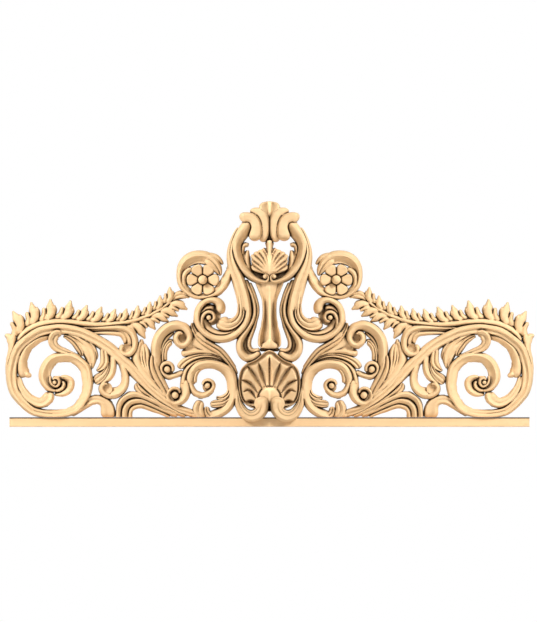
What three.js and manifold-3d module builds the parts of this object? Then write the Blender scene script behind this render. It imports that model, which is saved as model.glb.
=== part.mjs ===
// Carved openwork headpiece in pale wood: a crest of scrolls, leaves and two shells, carved on a
// flat back, standing on a plain base rail. Millimetres, +Z up, the carved face looks along -Y.
// The origin is the middle of the rail's underside.
import * as THREE from 'three';
import { mergeVertices } from 'three/addons/utils/BufferGeometryUtils.js';
import Module from 'manifold-3d';

// Driving dimensions
const CARVING_WIDTH = 1062;   // the crest from leaf tip to leaf tip
const RELIEF_DEPTH = 36;      // flat back to the highest carving above the rail
const RAIL_LENGTH = 1040;
const RAIL_HEIGHT = 19;
const RAIL_DEPTH = 24;
const RAIL_BEVEL = 1.5;       // bevel along the rail's front edges
const RAIL_LAP = 13;          // how far the cartouche scrolls stand proud of the rail's face
const GAP = 0.3;              // clearance between the crest and the rail

// The carver's pattern is drawn on squares. u counts squares out from the centreline, v counts
// squares up from the rail's underside. The left half is drawn, the right half mirrors it.
const PATTERN_WIDTH = 531;
const PATTERN_RAIL_TOP = 9.5;
const PATTERN_RELIEF = 36;
const LAP_REACH = 31;         // squares from the centreline within which scrolls lap the rail
const SQUARE = CARVING_WIDTH / PATTERN_WIDTH;
const RELIEF = RELIEF_DEPTH / PATTERN_RELIEF;
const BACK = RAIL_DEPTH / 2;  // y of the flat back

// Coarseness of the facets and fullness of the strands
const TURN_PER_STEP = 40;     // degrees a spine may turn between two sections
const SPREAD = 1.2;           // squares by which a strand's foot is wider than its drawn crest
const EDGE = 9;               // thickness at which every strand's rounding starts
const INNER_CLAMP = 0.88;     // how much of its own bend radius a strand may fill

// Sections across a strand: [place from -1 to 1, height share above the edge]
const RIDGE = [[-1, 0], [0, 1], [1, 0]];
const ROLL = [[-1, 0], [-0.45, 1], [0.45, 1], [1, 0]];
const TWIN = [[-1, 0], [-0.5, 1], [0.15, 0.35], [1, 0.55]];
const COLUMN = [[-1, 0.8], [-0.5, 0.1], [0, 1], [0.5, 0.1], [1, 0.8]];

// Spines: [u, v, width] in squares from root to tip. tops: crest height in mm at root and tip.
// side 1 keeps the section as written, -1 turns it over so that its hollow lies inside the curl.
const SCROLLS = [
  // The great spiral of the outer end: a stem rising from the foot, over, round and in
  { section: TWIN, side: 1, tops: [24, 31], spine: [
    [74, 12.5, 5], [98, 21.5, 7], [130, 49, 9], [160, 78, 11],
    [190, 94.5, 9.8], [210, 98, 9.5], [230, 94.7, 9.3], [251, 78.5, 9], [257.4, 58, 9],
    [254.8, 35.5, 7.3], [243.5, 20.6, 6.8], [226, 13.2, 7], [202, 14.2, 6.5], [187, 26, 7.5],
    [181.7, 42, 9.2], [184.2, 58, 9.5], [197, 69, 8.3], [214, 68.8, 9], [224.5, 56.5, 10.5],
    [222, 43, 9], [214.5, 39.2, 4.5]] },
  // The leaf lobe round the spiral's eye
  { section: RIDGE, side: 1, tops: [20, 25], spine: [
    [208, 47, 4], [203, 44, 9], [203, 38.5, 8], [207.5, 35, 6], [214, 34, 4]] },
  // The frieze stem that runs along the top and carries the bud leaves
  { section: RIDGE, side: 1, tops: [22, 17], spine: [
    [253, 85, 3], [246, 93.5, 5], [228, 102.6, 6], [200, 104.2, 5.4], [170, 101.8, 4.7],
    [142, 104.6, 4], [118, 112.8, 3.4], [98, 125.5, 2.6]] },
  // Leaves that hug the outer end and fill the great spiral
  { section: RIDGE, side: 1, tops: [20, 16], spine: [
    [262, 46, 1.5], [261, 70, 4], [257.3, 82, 7], [258.5, 88, 7], [264.5, 92, 1]] },
  { section: RIDGE, side: 1, tops: [18, 22], spine: [
    [222, 92, 2.5], [240, 80, 6], [247.5, 66, 9], [243.5, 50, 11.5]] },
  { section: TWIN, side: 1, tops: [18, 25], spine: [
    [252.5, 50, 3], [249, 39, 7], [241, 28.5, 9], [230, 23.6, 10], [221.5, 28.5, 11],
    [220, 37, 8]] },
  { section: RIDGE, side: 1, tops: [20, 27], spine: [
    [186, 67, 2.5], [203, 75.2, 4.5], [211.5, 78, 6], [216.5, 84, 6.8], [214, 91, 8],
    [206.5, 92, 7]] },
  // Two tufts of leaves between the great spiral and its stem
  { section: RIDGE, side: 1, tops: [23, 20], spine: [
    [204, 92, 4], [190, 83.5, 15], [180.5, 73, 17], [178.5, 56.5, 2]] },
  { section: RIDGE, side: 1, tops: [23, 20], spine: [
    [166, 81, 6], [161, 68, 13], [163, 58, 15.5], [177.5, 44, 3]] },
  // The hook under the tufts
  { section: RIDGE, side: 1, tops: [22, 26], spine: [
    [149, 68, 3], [143.6, 55, 7.5], [145.5, 42, 8.5], [155, 34, 10], [164.5, 37, 12],
    [165, 44, 6]] },
  // The arch and the long leaves that sweep along the rail
  { section: RIDGE, side: 1, tops: [20, 24], spine: [
    [197, 11.8, 3], [184, 22.5, 8], [173, 28, 9], [163, 24, 12], [160.8, 8, 14.5]] },
  { section: RIDGE, side: 1, tops: [23, 18], spine: [
    [150.5, 8, 6], [149, 24, 8], [140, 31.5, 8], [128, 29.5, 6.5], [108, 20.5, 4.5],
    [82, 11, 3]] },
  { section: RIDGE, side: 1, tops: [21, 16], spine: [
    [143, 8, 9], [141.5, 18, 9], [131, 23, 8], [96, 11, 3]] },
  { section: RIDGE, side: 1, tops: [22, 18], spine: [
    [135, 42, 5], [126, 34, 8], [104, 21, 5]] },
  // The hollow curl hanging under the frieze
  { section: RIDGE, side: 1, tops: [20, 27], spine: [
    [186, 97, 4], [160, 97, 7], [146, 95, 10], [138.4, 87, 12.5], [137.8, 78, 10],
    [144, 73, 7], [151, 77.5, 4]] },
  // The leaf that climbs from the stem towards the frieze
  { section: RIDGE, side: 1, tops: [24, 18], spine: [
    [100, 27, 6], [119, 44, 9], [132, 60.5, 8], [139.5, 71.5, 4]] },
  { section: RIDGE, side: 1, tops: [23, 16], spine: [
    [100, 30, 5], [116, 52, 14], [123, 69, 14], [128.8, 87.5, 1.5]] },
  // The pair of small volutes in the middle of the field
  { section: RIDGE, side: 1, tops: [23, 28], spine: [
    [80, 63.5, 4], [89, 53.5, 5], [100, 49.6, 5], [107.4, 54, 4.8], [106.5, 62.5, 4.4],
    [99, 62.5, 4]] },
  { section: RIDGE, side: 1, tops: [24, 28], spine: [
    [84, 46, 7], [84.5, 32, 8.5], [90.5, 25, 6.5], [98.5, 25.2, 5.4], [102, 32.5, 4.6],
    [96, 38.2, 4]] },
  // The crozier: a broad leaf that rolls over beneath the frieze's end
  { section: TWIN, side: -1, tops: [24, 32], spine: [
    [107, 50, 6], [112.5, 66, 9.5], [113.8, 80, 10], [111, 90, 10],
    [104.5, 97.8, 10], [94, 102, 9.5], [83, 99, 8.5], [78.2, 90, 7], [84, 81.5, 6.4],
    [92.4, 86.5, 7], [90, 93.5, 6]] },
  { section: RIDGE, side: 1, tops: [22, 18], spine: [
    [107.5, 64, 5], [106, 77, 7], [96, 86.5, 3]] },
  // The sheaf of long leaves that fans out from the cartouche
  { section: RIDGE, side: 1, tops: [24, 26], spine: [
    [36, 58, 6], [46, 73, 9], [62, 86, 8], [73.5, 96.5, 6.5], [77.3, 106.5, 1.5]] },
  { section: RIDGE, side: 1, tops: [23, 20], spine: [
    [45, 69.5, 5], [60, 78, 9], [77, 81, 14], [90, 74.5, 5]] },
  { section: RIDGE, side: 1, tops: [22, 24], spine: [
    [38, 60, 3], [54, 69.5, 6.5], [71, 69, 9], [84, 61.5, 10], [86.5, 41, 5]] },
  // The ring round the small inner volute, with a leaf in it
  { section: TWIN, side: -1, tops: [26, 31], spine: [
    [82.5, 37, 6], [80.3, 50, 8], [73, 60.5, 8], [60, 63.6, 7.5],
    [46.5, 59.5, 8.5], [38, 47, 9.2], [38, 33, 8.5], [44, 19.5, 8.5],
    [55, 12.5, 8], [66, 11, 6]] },
  { section: RIDGE, side: 1, tops: [22, 18], spine: [
    [38.5, 31, 6], [44, 24.5, 9], [51, 21.5, 11], [61, 20, 7]] },
  { section: RIDGE, side: 1, tops: [24, 29], spine: [
    [80, 42, 5], [76, 34, 6], [67, 31.5, 5], [58.5, 35.5, 5],
    [58.5, 44, 4.4], [65.5, 43.5, 4]] },
  { section: RIDGE, side: 1, tops: [22, 19], spine: [
    [78, 9, 9], [73, 19, 10], [68.5, 29, 3]] },
  // The inner frame of the centre panel, ending in a small volute under the upper shell
  { section: TWIN, side: 1, tops: [28, 34], spine: [
    [18.5, 205, 7], [25.5, 194, 11.5], [32.3, 178, 9], [31.5, 165, 8.5],
    [26, 154.5, 9], [15, 147, 5.5], [1, 147, 3.6]] },
  // The outer frame: a long twin ridge falling from the finial and rolling into a spiral
  { section: TWIN, side: -1, tops: [24, 33], spine: [
    [32, 199, 3], [38.5, 184, 5.5], [40.2, 168, 7.5], [36.5, 153, 10.5],
    [29.5, 136, 11.5], [24.5, 119, 11.5], [26.5, 102.5, 10.5],
    [35, 93, 10.5], [50, 89.3, 11], [63, 95.2, 10], [69.8, 107, 9.5], [67.5, 119, 8.5],
    [58, 124.8, 8], [49.5, 119.5, 8], [51.5, 113, 4]] },
  { section: RIDGE, side: 1, tops: [24, 28], spine: [
    [26, 114, 5], [32, 103, 9], [43, 103, 12.5], [52.5, 107, 6]] },
  // A band that falls beside the column and turns in above the lower shell
  { section: RIDGE, side: 1, tops: [21, 27], spine: [
    [23, 147, 4], [17.3, 129, 6.6], [14.8, 112, 7], [17.5, 101, 8],
    [24, 88, 11.5], [25, 76, 13], [14, 71.5, 10], [6, 76.5, 6]] },
  { section: RIDGE, side: 1, tops: [18, 20], spine: [
    [19, 154, 3], [24.5, 166, 7.5], [23.5, 181, 5]] },
  // The sunk ground under the upper shell
  { section: RIDGE, side: 1, tops: [9.5, 9.5], spine: [[20, 157, 4], [11, 151, 6], [2, 149, 6]] },
  // The finial's leaf lobes, curling outwards
  { section: RIDGE, side: 1, tops: [24, 30], spine: [
    [5.5, 184.5, 5], [4, 198, 8], [7.5, 211.5, 8], [18.8, 216, 3]] },
  { section: RIDGE, side: 1, tops: [24, 31], spine: [
    [15.5, 187.5, 8.5], [12.3, 198, 9.5], [17, 207.4, 9], [29, 208, 7]] },
  // The curl that wraps the rosette and ends in a hanging leaf tip
  { section: TWIN, side: -1, tops: [23, 27], spine: [
    [40, 147, 7], [52, 133.6, 6.4], [66, 130, 6.5], [79, 133.4, 6.5], [87, 143, 6.5],
    [88.6, 154, 6.8], [83.5, 164.5, 10.5], [70, 169.8, 11.5], [57.5, 165.5, 12],
    [48.6, 151, 1]] },
];

// The scrolls of the cartouche lap over the rail's face, so they stand proud of it.
const CARTOUCHE_SCROLL = { section: TWIN, side: 1, spine: [
  [35.5, 58, 3], [31.8, 34, 5.5], [30.3, 22, 8], [25, 13.3, 9.8],
  [14.5, 11.2, 11.5], [7, 18.5, 12.5], [8.8, 26, 7]] };
const CARTOUCHE_ROOT_TOP = 24;

// Frieze bud leaves: [root u, root v, tip u, tip v]
const UPPER_BUDS = [
  [248, 95, 256.5, 115.5], [235, 103, 238, 124.4], [221, 106, 219, 127.4],
  [206, 106.5, 198.6, 126], [191, 105.5, 182.4, 121.4], [177, 104, 167.8, 119.8],
  [162, 103.5, 154.2, 117.5], [148, 104.5, 143, 118], [135, 106.5, 131.5, 121],
  [122.5, 111, 119.5, 124.8], [111, 117, 109.5, 131], [100, 125, 100, 139.5],
];
const LOWER_BUDS = [
  [97, 126.5, 79.5, 131.5], [98, 125, 82, 117.5], [107, 119.5, 92, 110.8],
  [116, 114, 101, 105.2], [125, 109, 114.3, 97.5], [136, 105, 124.4, 88.6],
];
const BUD_TOPS = [16, 15];
const BUD_WIDTH = 0.58;       // blade width as a share of its length
const BUD_ROOT = 0.95;        // width at the root as a share of the blade's
const BUD_BOW = 0.16;         // how far a lower bud bows above its chord, as a share of length

// Buttons: [u, v, radius, top]. Eyes of the volutes and the rosette's centre.
const BUTTONS = [
  [213, 46, 5.6, 24], [102, 57.5, 5.4, 25], [95, 32, 5.4, 25], [62, 39.5, 4.6, 26],
  [60, 111, 8, 29], [86.5, 90, 8, 20], [67, 146.6, 4.8, 28],
  [4, 150.3, 3.4, 32], [7.5, 24.5, 7, 34],
];
const BUTTON_SIDES = 6;
const BUTTON_RISE = 0.75;     // height of a button's shoulder as a share of its top

// Rosette beside the centre panel
const ROSETTE = [67, 146.6];
const PETALS = 6;
const PETAL_SPOKES = 3;       // facets round each petal
const ROSETTE_RADIUS = 16.6;
const PETAL_NOTCH = 0.78;     // radius between two petals as a share of the full radius
const ROSETTE_RINGS = [[0.66, 24], [1, 15]];
const ROSETTE_HOLLOW = 16;    // height at the petals' roots

// Lower shell: a hollow dish with ribs round a half dome, [u, v] from its top to its foot
const SHELL_HINGE = [0, 30];
const SHELL_EDGE = [
  [0, 78.5], [10, 72], [20, 66.5], [28, 59.5], [31, 46], [29.5, 34], [23.5, 23.5], [14, 19],
  [0, 17]];
const SHELL_RINGS = [[0.26, 26], [0.42, 15], [1, 23]];
const SHELL_DOME_TOP = 31;
const SHELL_RIBS = 7;
const SHELL_RIB_RISE = 3;

// Upper shell: a domed scallop above the column
const SCALLOP_HINGE = [0, 152];
const SCALLOP_EDGE = [
  [0, 178], [7, 179.5], [11, 178], [16, 175], [19.5, 171], [20, 163], [19, 156.5],
  [9, 152.5], [0, 150]];
const SCALLOP_RINGS = [[0.7, 29], [1, 16]];
const SCALLOP_TOP = 33;
const SCALLOP_RIB_RISE = 2;

// The middle pieces on the centreline: [u, v, width]
const COLUMN_SPINE = [
  [0, 75.5, 6], [0, 80, 18.4], [0, 90, 20.4], [0, 101, 16], [0, 113, 12.2], [0, 125, 12.2],
  [0, 135, 18.4], [0, 145.5, 26.5]];
const COLUMN_TOPS = [23, 27];
const NECK_SPINE = [[0, 168, 4.6], [0, 182, 5], [0, 187, 9], [0, 200, 5]];
const NECK_TOPS = [25, 25];
const BELL_SPINE = [
  [0, 198, 3], [0, 210, 6], [0, 217.5, 17], [0, 221, 19.2], [0, 225.5, 8]];
const BELL_TOPS = [24, 30];

const WOOD = { color: 0xe9c896, roughness: 0.62, metalness: 0 };
const RAIL_WOOD = { color: 0xf0d5a4, roughness: 0.6, metalness: 0 };

const wasm = await Module();
wasm.setup();

// Places a pattern point with its height above the back; half is -1 on the left, 1 on the right.
function place(u, v, height, half) {
  return [
    half * u * SQUARE,
    BACK - height,
    RAIL_HEIGHT + (v - PATTERN_RAIL_TOP) * SQUARE,
  ];
}

// One closed solid from a vertex list and a triangle list, faces out on either half.
function solid(vertices, triangles, half) {
  const geometry = new THREE.BufferGeometry();
  geometry.setAttribute('position', new THREE.Float32BufferAttribute(vertices.flat(), 3));
  const turned = half < 0 ? triangles.map(([a, b, c]) => [a, c, b]) : triangles;
  geometry.setIndex(turned.flat());
  const merged = mergeVertices(geometry, 1e-4);
  const mesh = new wasm.Mesh({
    numProp: 3,
    vertProperties: new Float32Array(merged.attributes.position.array),
    triVerts: new Uint32Array(merged.index.array),
  });
  return new wasm.Manifold(mesh);
}

// Sections along a spine: place, width and unit direction, closer where the spine bends.
function stations(spine) {
  const curve = new THREE.CatmullRomCurve3(
    spine.map(([u, v, width]) => new THREE.Vector3(u, v, width)), false, 'centripetal');
  const spans = spine.length - 1;
  const direction = (t) => {
    const tangent = curve.getTangent(t);
    return new THREE.Vector2(tangent.x, tangent.y).normalize();
  };
  const list = [];
  for (let i = 0; i < spans; i += 1) {
    const turn = THREE.MathUtils.radToDeg(
      direction(i / spans).angleTo(direction((i + 1) / spans)));
    const steps = Math.max(1, Math.ceil(turn / TURN_PER_STEP - 0.25));
    for (let k = 0; k < steps; k += 1) list.push((i + k / steps) / spans);
  }
  list.push(1);
  return list.map((t) => {
    const point = curve.getPoint(t);
    return { t, u: point.x, v: point.y, width: Math.max(point.z, 0) + SPREAD, along: direction(t) };
  });
}

// Signed bend (radians per square) of a spine at each station, positive where it turns left.
function bends(sections) {
  return sections.map((here, i) => {
    const before = sections[Math.max(i - 1, 0)];
    const after = sections[Math.min(i + 1, sections.length - 1)];
    const turn = Math.atan2(before.along.cross(after.along), before.along.dot(after.along));
    return turn / Math.max(Math.hypot(after.u - before.u, after.v - before.v), 1e-6);
  });
}

// A strand: its section carried along its spine, standing on the flat back.
function strand({ section, side, tops, spine }, half) {
  const sections = stations(spine);
  const bend = bends(sections);
  const ring = section.length + 2;
  const vertices = [];
  sections.forEach(({ t, u, v, width, along }, i) => {
    const top = (tops[0] + (tops[1] - tops[0]) * t) * RELIEF;
    const edge = EDGE * RELIEF;
    // Across the strand, to the left of travel on the drawn half seen from the front
    const across = [along.y, -along.x];
    const reach = (s) => {
      const inward = Math.sign(s) === -Math.sign(bend[i]);
      const room = inward ? INNER_CLAMP / Math.abs(bend[i]) : width;
      return s * Math.min(width / 2, room);
    };
    const at = (s, height) => {
      const offset = reach(s);
      return place(u + across[0] * offset, v + across[1] * offset, height, half);
    };
    vertices.push(at(-1, 0));
    section.forEach((row, k) => {
      const [s, share] = side > 0 ? row : section[section.length - 1 - k];
      vertices.push(at(side * s, edge + (top - edge) * share));
    });
    vertices.push(at(1, 0));
  });
  const triangles = [];
  for (let i = 0; i < sections.length - 1; i += 1) {
    for (let k = 0; k < ring; k += 1) {
      const a = i * ring + k;
      const b = i * ring + (k + 1) % ring;
      triangles.push([a, b, b + ring], [a, b + ring, a + ring]);
    }
  }
  const last = (sections.length - 1) * ring;
  for (let k = 1; k < ring - 1; k += 1) {
    triangles.push([0, k + 1, k], [last, last + k, last + k + 1]);
  }
  return solid(vertices, triangles, half);
}

// A fan: rings of points from a middle point out to an edge, standing on the flat back.
// Each ring is [share of the way to the edge, height]; ripple adds to the height spoke by spoke.
function fan(hinge, edge, rings, middleTop, ripple, half) {
  const spokes = edge.length;
  const vertices = [place(hinge[0], hinge[1], middleTop * RELIEF, half)];
  rings.forEach(([share, height]) => {
    edge.forEach(([u, v], k) => {
      vertices.push(place(
        hinge[0] + (u - hinge[0]) * share,
        hinge[1] + (v - hinge[1]) * share,
        (height + ripple(k)) * RELIEF, half));
    });
  });
  edge.forEach(([u, v]) => vertices.push(place(u, v, 0, half)));
  vertices.push(place(hinge[0], hinge[1], 0, half));
  const foot = vertices.length - 1;
  const triangles = [];
  for (let k = 0; k < spokes; k += 1) {
    const next = (k + 1) % spokes;
    triangles.push([0, 1 + k, 1 + next]);
    for (let r = 0; r < rings.length; r += 1) {
      const a = 1 + r * spokes + k;
      const b = 1 + r * spokes + next;
      triangles.push([a, a + spokes, b + spokes], [a, b + spokes, b]);
    }
    triangles.push([foot, 1 + rings.length * spokes + next, 1 + rings.length * spokes + k]);
  }
  return solid(vertices, triangles, half);
}

// Points round a circle on the pattern, anticlockwise as the pattern is drawn on the right half.
function circle(u, v, radius, sides) {
  return Array.from({ length: sides }, (_, k) => {
    const angle = 2 * Math.PI * k / sides;
    return [u + radius * Math.cos(angle), v + radius * Math.sin(angle)];
  });
}

function button([u, v, radius, top], half) {
  const rings = [[1, top * BUTTON_RISE]];
  return fan([u, v], circle(u, v, radius, BUTTON_SIDES), rings, top, () => 0, half);
}

function rosette(half) {
  const spokes = PETALS * PETAL_SPOKES;
  const edge = circle(0, 0, 1, spokes).map(([du, dv], k) => {
    const radius = ROSETTE_RADIUS * (k % PETAL_SPOKES === 0 ? PETAL_NOTCH : 1);
    return [ROSETTE[0] + radius * du, ROSETTE[1] + radius * dv];
  });
  return fan(ROSETTE, edge, ROSETTE_RINGS, ROSETTE_HOLLOW, () => 0, half);
}

// A shell on the centreline: its half edge is drawn, mirrored and cut into ribs.
function shell(hinge, halfEdge, rings, middleTop, ribRise, ribs) {
  const curve = new THREE.CatmullRomCurve3(
    halfEdge.map(([u, v]) => new THREE.Vector3(u, v, 0)), false, 'centripetal');
  const steps = ribs * 2;
  const right = Array.from({ length: steps + 1 }, (_, k) => {
    const point = curve.getPointAt(k / steps);
    return [point.x, point.y];
  });
  const left = right.slice(1, steps).reverse().map(([u, v]) => [-u, v]);
  const edge = [...right, ...left].reverse();
  const ripple = (k) => (k % 2 === 0 ? ribRise : 0);
  return fan(hinge, edge, rings, middleTop, ripple, 1);
}

// A bud leaf of the frieze, a blade from its root on the stem to its tip.
function bud([rootU, rootV, tipU, tipV], bow, half) {
  const du = tipU - rootU;
  const dv = tipV - rootV;
  const width = Math.hypot(du, dv) * BUD_WIDTH;
  return strand({
    section: RIDGE, side: 1, tops: BUD_TOPS,
    spine: [
      [rootU, rootV, width * BUD_ROOT],
      [rootU + du / 2 - dv * bow, rootV + dv / 2 + du * bow, width],
      [tipU, tipV, 0]],
  }, half);
}

// Everything that is drawn once and mirrored.
function halfCarving(half) {
  return [
    ...SCROLLS.map((scroll) => strand(scroll, half)),
    strand({
      ...CARTOUCHE_SCROLL,
      tops: [CARTOUCHE_ROOT_TOP, (RAIL_DEPTH + RAIL_LAP) / RELIEF],
    }, half),
    ...UPPER_BUDS.map((row) => bud(row, 0, half)),
    ...LOWER_BUDS.map((row) => bud(row, -BUD_BOW, half)),
    ...BUTTONS.map((row) => button(row, half)),
    rosette(half),
  ];
}

function middleCarving() {
  return [
    shell(SHELL_HINGE, SHELL_EDGE, SHELL_RINGS, SHELL_DOME_TOP, SHELL_RIB_RISE, SHELL_RIBS),
    shell(SCALLOP_HINGE, SCALLOP_EDGE, SCALLOP_RINGS, SCALLOP_TOP, SCALLOP_RIB_RISE, SHELL_RIBS),
    strand({ section: COLUMN, side: 1, tops: COLUMN_TOPS, spine: COLUMN_SPINE }, 1),
    strand({ section: ROLL, side: 1, tops: NECK_TOPS, spine: NECK_SPINE }, 1),
    strand({ section: ROLL, side: 1, tops: BELL_TOPS, spine: BELL_SPINE }, 1),
  ];
}

// A box between two corners as a solid to cut with.
function block(low, high) {
  const box = new THREE.BoxGeometry(high[0] - low[0], high[1] - low[1], high[2] - low[2]);
  box.translate((high[0] + low[0]) / 2, (high[1] + low[1]) / 2, (high[2] + low[2]) / 2);
  box.deleteAttribute('normal');
  box.deleteAttribute('uv');
  const merged = mergeVertices(box);
  return new wasm.Manifold(new wasm.Mesh({
    numProp: 3,
    vertProperties: new Float32Array(merged.attributes.position.array),
    triVerts: new Uint32Array(merged.index.array),
  }));
}

// Room for the rail: behind the lapping scrolls near the middle, right through further out.
function railRoom() {
  const far = CARVING_WIDTH;
  const lap = LAP_REACH * SQUARE;
  const top = RAIL_HEIGHT + GAP;
  const front = -RAIL_DEPTH / 2 - GAP;
  const deep = CARVING_WIDTH;
  return [
    block([-far, front, -deep], [far, deep, top]),
    block([-far, -deep, -deep], [-lap, deep, top]),
    block([lap, -deep, -deep], [far, deep, top]),
  ];
}

function meshFrom(manifold, name, material) {
  const { vertProperties, triVerts } = manifold.getMesh();
  const geometry = new THREE.BufferGeometry();
  geometry.setAttribute('position', new THREE.BufferAttribute(vertProperties, 3));
  geometry.setIndex(new THREE.BufferAttribute(triVerts, 1));
  const flat = geometry.toNonIndexed();
  flat.computeVertexNormals();
  const mesh = new THREE.Mesh(flat, new THREE.MeshStandardMaterial(material));
  mesh.name = name;
  return mesh;
}

function carvedCrest() {
  const pieces = [...halfCarving(-1), ...halfCarving(1), ...middleCarving()];
  const whole = pieces.reduce((joined, piece) => joined.add(piece));
  const cut = railRoom().reduce((left, room) => left.subtract(room), whole);
  return meshFrom(cut, 'carved_crest', WOOD);
}

function baseRail() {
  const outline = new THREE.Shape();
  outline.moveTo(-RAIL_DEPTH / 2 + RAIL_BEVEL, 0);
  outline.lineTo(RAIL_DEPTH / 2, 0);
  outline.lineTo(RAIL_DEPTH / 2, RAIL_HEIGHT);
  outline.lineTo(-RAIL_DEPTH / 2 + RAIL_BEVEL, RAIL_HEIGHT);
  outline.lineTo(-RAIL_DEPTH / 2, RAIL_HEIGHT - RAIL_BEVEL);
  outline.lineTo(-RAIL_DEPTH / 2, RAIL_BEVEL);
  outline.closePath();
  const geometry = new THREE.ExtrudeGeometry(outline, { depth: RAIL_LENGTH, bevelEnabled: false });
  // The outline lies in depth and height; turn its length along X.
  const turn = new THREE.Matrix4().makeBasis(
    new THREE.Vector3(0, 1, 0), new THREE.Vector3(0, 0, 1), new THREE.Vector3(1, 0, 0));
  geometry.applyMatrix4(turn);
  const mesh = new THREE.Mesh(geometry, new THREE.MeshStandardMaterial(RAIL_WOOD));
  mesh.position.x = -RAIL_LENGTH / 2;
  mesh.name = 'base_rail';
  return mesh;
}

const headpiece = new THREE.Group();
headpiece.add(carvedCrest(), baseRail());

export default headpiece;
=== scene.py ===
# A carved openwork headpiece in pale wood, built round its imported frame.
# Every strand of the carving is a section carried along a spine. All of them are joined into one
# solid, over low ground cut from the frame's crest. The plain base rail stays the frame's own.
import math

import bmesh
import bpy
import numpy as np
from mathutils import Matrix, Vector


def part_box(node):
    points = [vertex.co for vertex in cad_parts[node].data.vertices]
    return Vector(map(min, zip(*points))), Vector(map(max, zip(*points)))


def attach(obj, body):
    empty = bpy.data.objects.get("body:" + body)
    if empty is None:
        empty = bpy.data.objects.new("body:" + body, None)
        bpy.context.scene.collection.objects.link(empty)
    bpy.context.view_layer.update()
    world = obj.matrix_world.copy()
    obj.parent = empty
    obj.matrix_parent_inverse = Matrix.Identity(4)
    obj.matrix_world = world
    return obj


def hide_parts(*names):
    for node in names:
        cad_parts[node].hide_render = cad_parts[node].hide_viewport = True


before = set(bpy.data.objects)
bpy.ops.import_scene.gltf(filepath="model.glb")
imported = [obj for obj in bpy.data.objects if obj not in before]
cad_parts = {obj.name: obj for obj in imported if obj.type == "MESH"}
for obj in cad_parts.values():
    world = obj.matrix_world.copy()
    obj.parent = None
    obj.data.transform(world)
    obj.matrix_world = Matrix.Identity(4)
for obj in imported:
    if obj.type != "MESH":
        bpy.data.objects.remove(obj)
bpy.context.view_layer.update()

# The carver's pattern: u squares out from the middle, v squares up from the rail's underside
RAIL_LOW, RAIL_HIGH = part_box("base_rail")
PATTERN_RAIL_LENGTH = 520
PATTERN_RAIL_TOP = 9.5
SQUARE = (RAIL_HIGH.x - RAIL_LOW.x) / PATTERN_RAIL_LENGTH
BACK = RAIL_HIGH.y            # y of the flat back
RAIL_TOP = RAIL_HIGH.z
RAIL_FRONT = RAIL_LOW.y
MM = 0.001
GAP = 0.3 * MM                # clearance between the crest and the rail
LAP_REACH = 31                # squares from the middle within which scrolls lap the rail's face
FAR = 2.0                     # m, well past the carving, for the blocks that cut it

EDGE = 6.0                    # mm of thickness at which a strand's rounding starts
SPREAD = 1.5                  # squares by which a strand's foot is wider than its drawn crest
STEP = 1.5                    # squares between two stations along a strand
ACROSS = 12                   # places across a strand
LEAST_WIDTH = 0.2             # squares
INNER_CLAMP = 0.9             # how much of its own bend radius a strand may fill
MOST_TRIANGLES = 195000       # in the whole carving
GROUND_HEIGHT = 7.5           # mm of carving left between strands that touch
GROUND_REACH = 0.5            # squares by which it reaches out past a strand
END_STATIONS = 5              # stations that round off a strand's end
END_SHARE = 0.14              # size of the flat left at the very end
END_LENGTH = 20               # squares that a rounded end may take at most
END_OF_TOTAL = 0.48           # share of a strand that one end may take at most
END_LEAST_WIDTH = 0.8         # squares of width that an end is rounded for at least
CREASE_ANGLE = 34             # degrees past which two facets meet in a crisp edge
SECTION_SAMPLES = 801         # places at which a section's outline is measured
SECTION_RISE = 1.3            # how much a section's rise counts against its width there
CREASE_ROOM = 0.04            # how near to a crease no other place is kept


# Sections across a strand, as functions of the place s from -1 to 1

def roll(s):
    """A round roll, a little fuller than half an ellipse: height = sqrt(1 - |s|^2.2)."""
    return np.sqrt(1 - np.clip(np.abs(s), 0, 1) ** 2.2)


def drawn(*rows):
    """A smooth section through given points [s, height]: a cubic through each pair with
    slopes taken from the neighbours."""
    curve = flow(np.array(rows, float), 30)

    def shape(s):
        return np.interp(s, curve[:, 0], curve[:, 1])
    return shape


def mirrored(*rows):
    """A smooth section drawn from its left flank to its middle, with its right half the same."""
    return drawn(*rows, *[(-s, height) for s, height in rows[-2::-1]])


def flow(rows, per_span=24):
    """Centripetal Catmull-Rom through the rows: every span is a cubic through its two rows, and
    its end slopes come from the chords on both sides, each weighted by the root of its length."""
    rows = np.asarray(rows, float)
    ends = np.vstack([2 * rows[0] - rows[1], rows, 2 * rows[-1] - rows[-2]])
    p0, p1, p2, p3 = ends[:-3], ends[1:-2], ends[2:-1], ends[3:]
    d0, d1, d2 = [np.sqrt(np.linalg.norm(b - a, axis=1))[:, None]
                  for a, b in ((p0, p1), (p1, p2), (p2, p3))]
    out = ((p1 - p0) / d0 - (p2 - p0) / (d0 + d1) + (p2 - p1) / d1) * d1
    back = ((p2 - p1) / d1 - (p3 - p1) / (d1 + d2) + (p3 - p2) / d2) * d1
    t = np.linspace(0, 1, per_span, endpoint=False)[None, :, None]
    a, b, m, n = [x[:, None, :] for x in (p1, p2, out, back)]
    points = a + m * t + (3 * (b - a) - 2 * m - n) * t ** 2 + (2 * (a - b) + m + n) * t ** 3
    return np.vstack([points.reshape(-1, rows.shape[1]), rows[-1:]])


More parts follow.
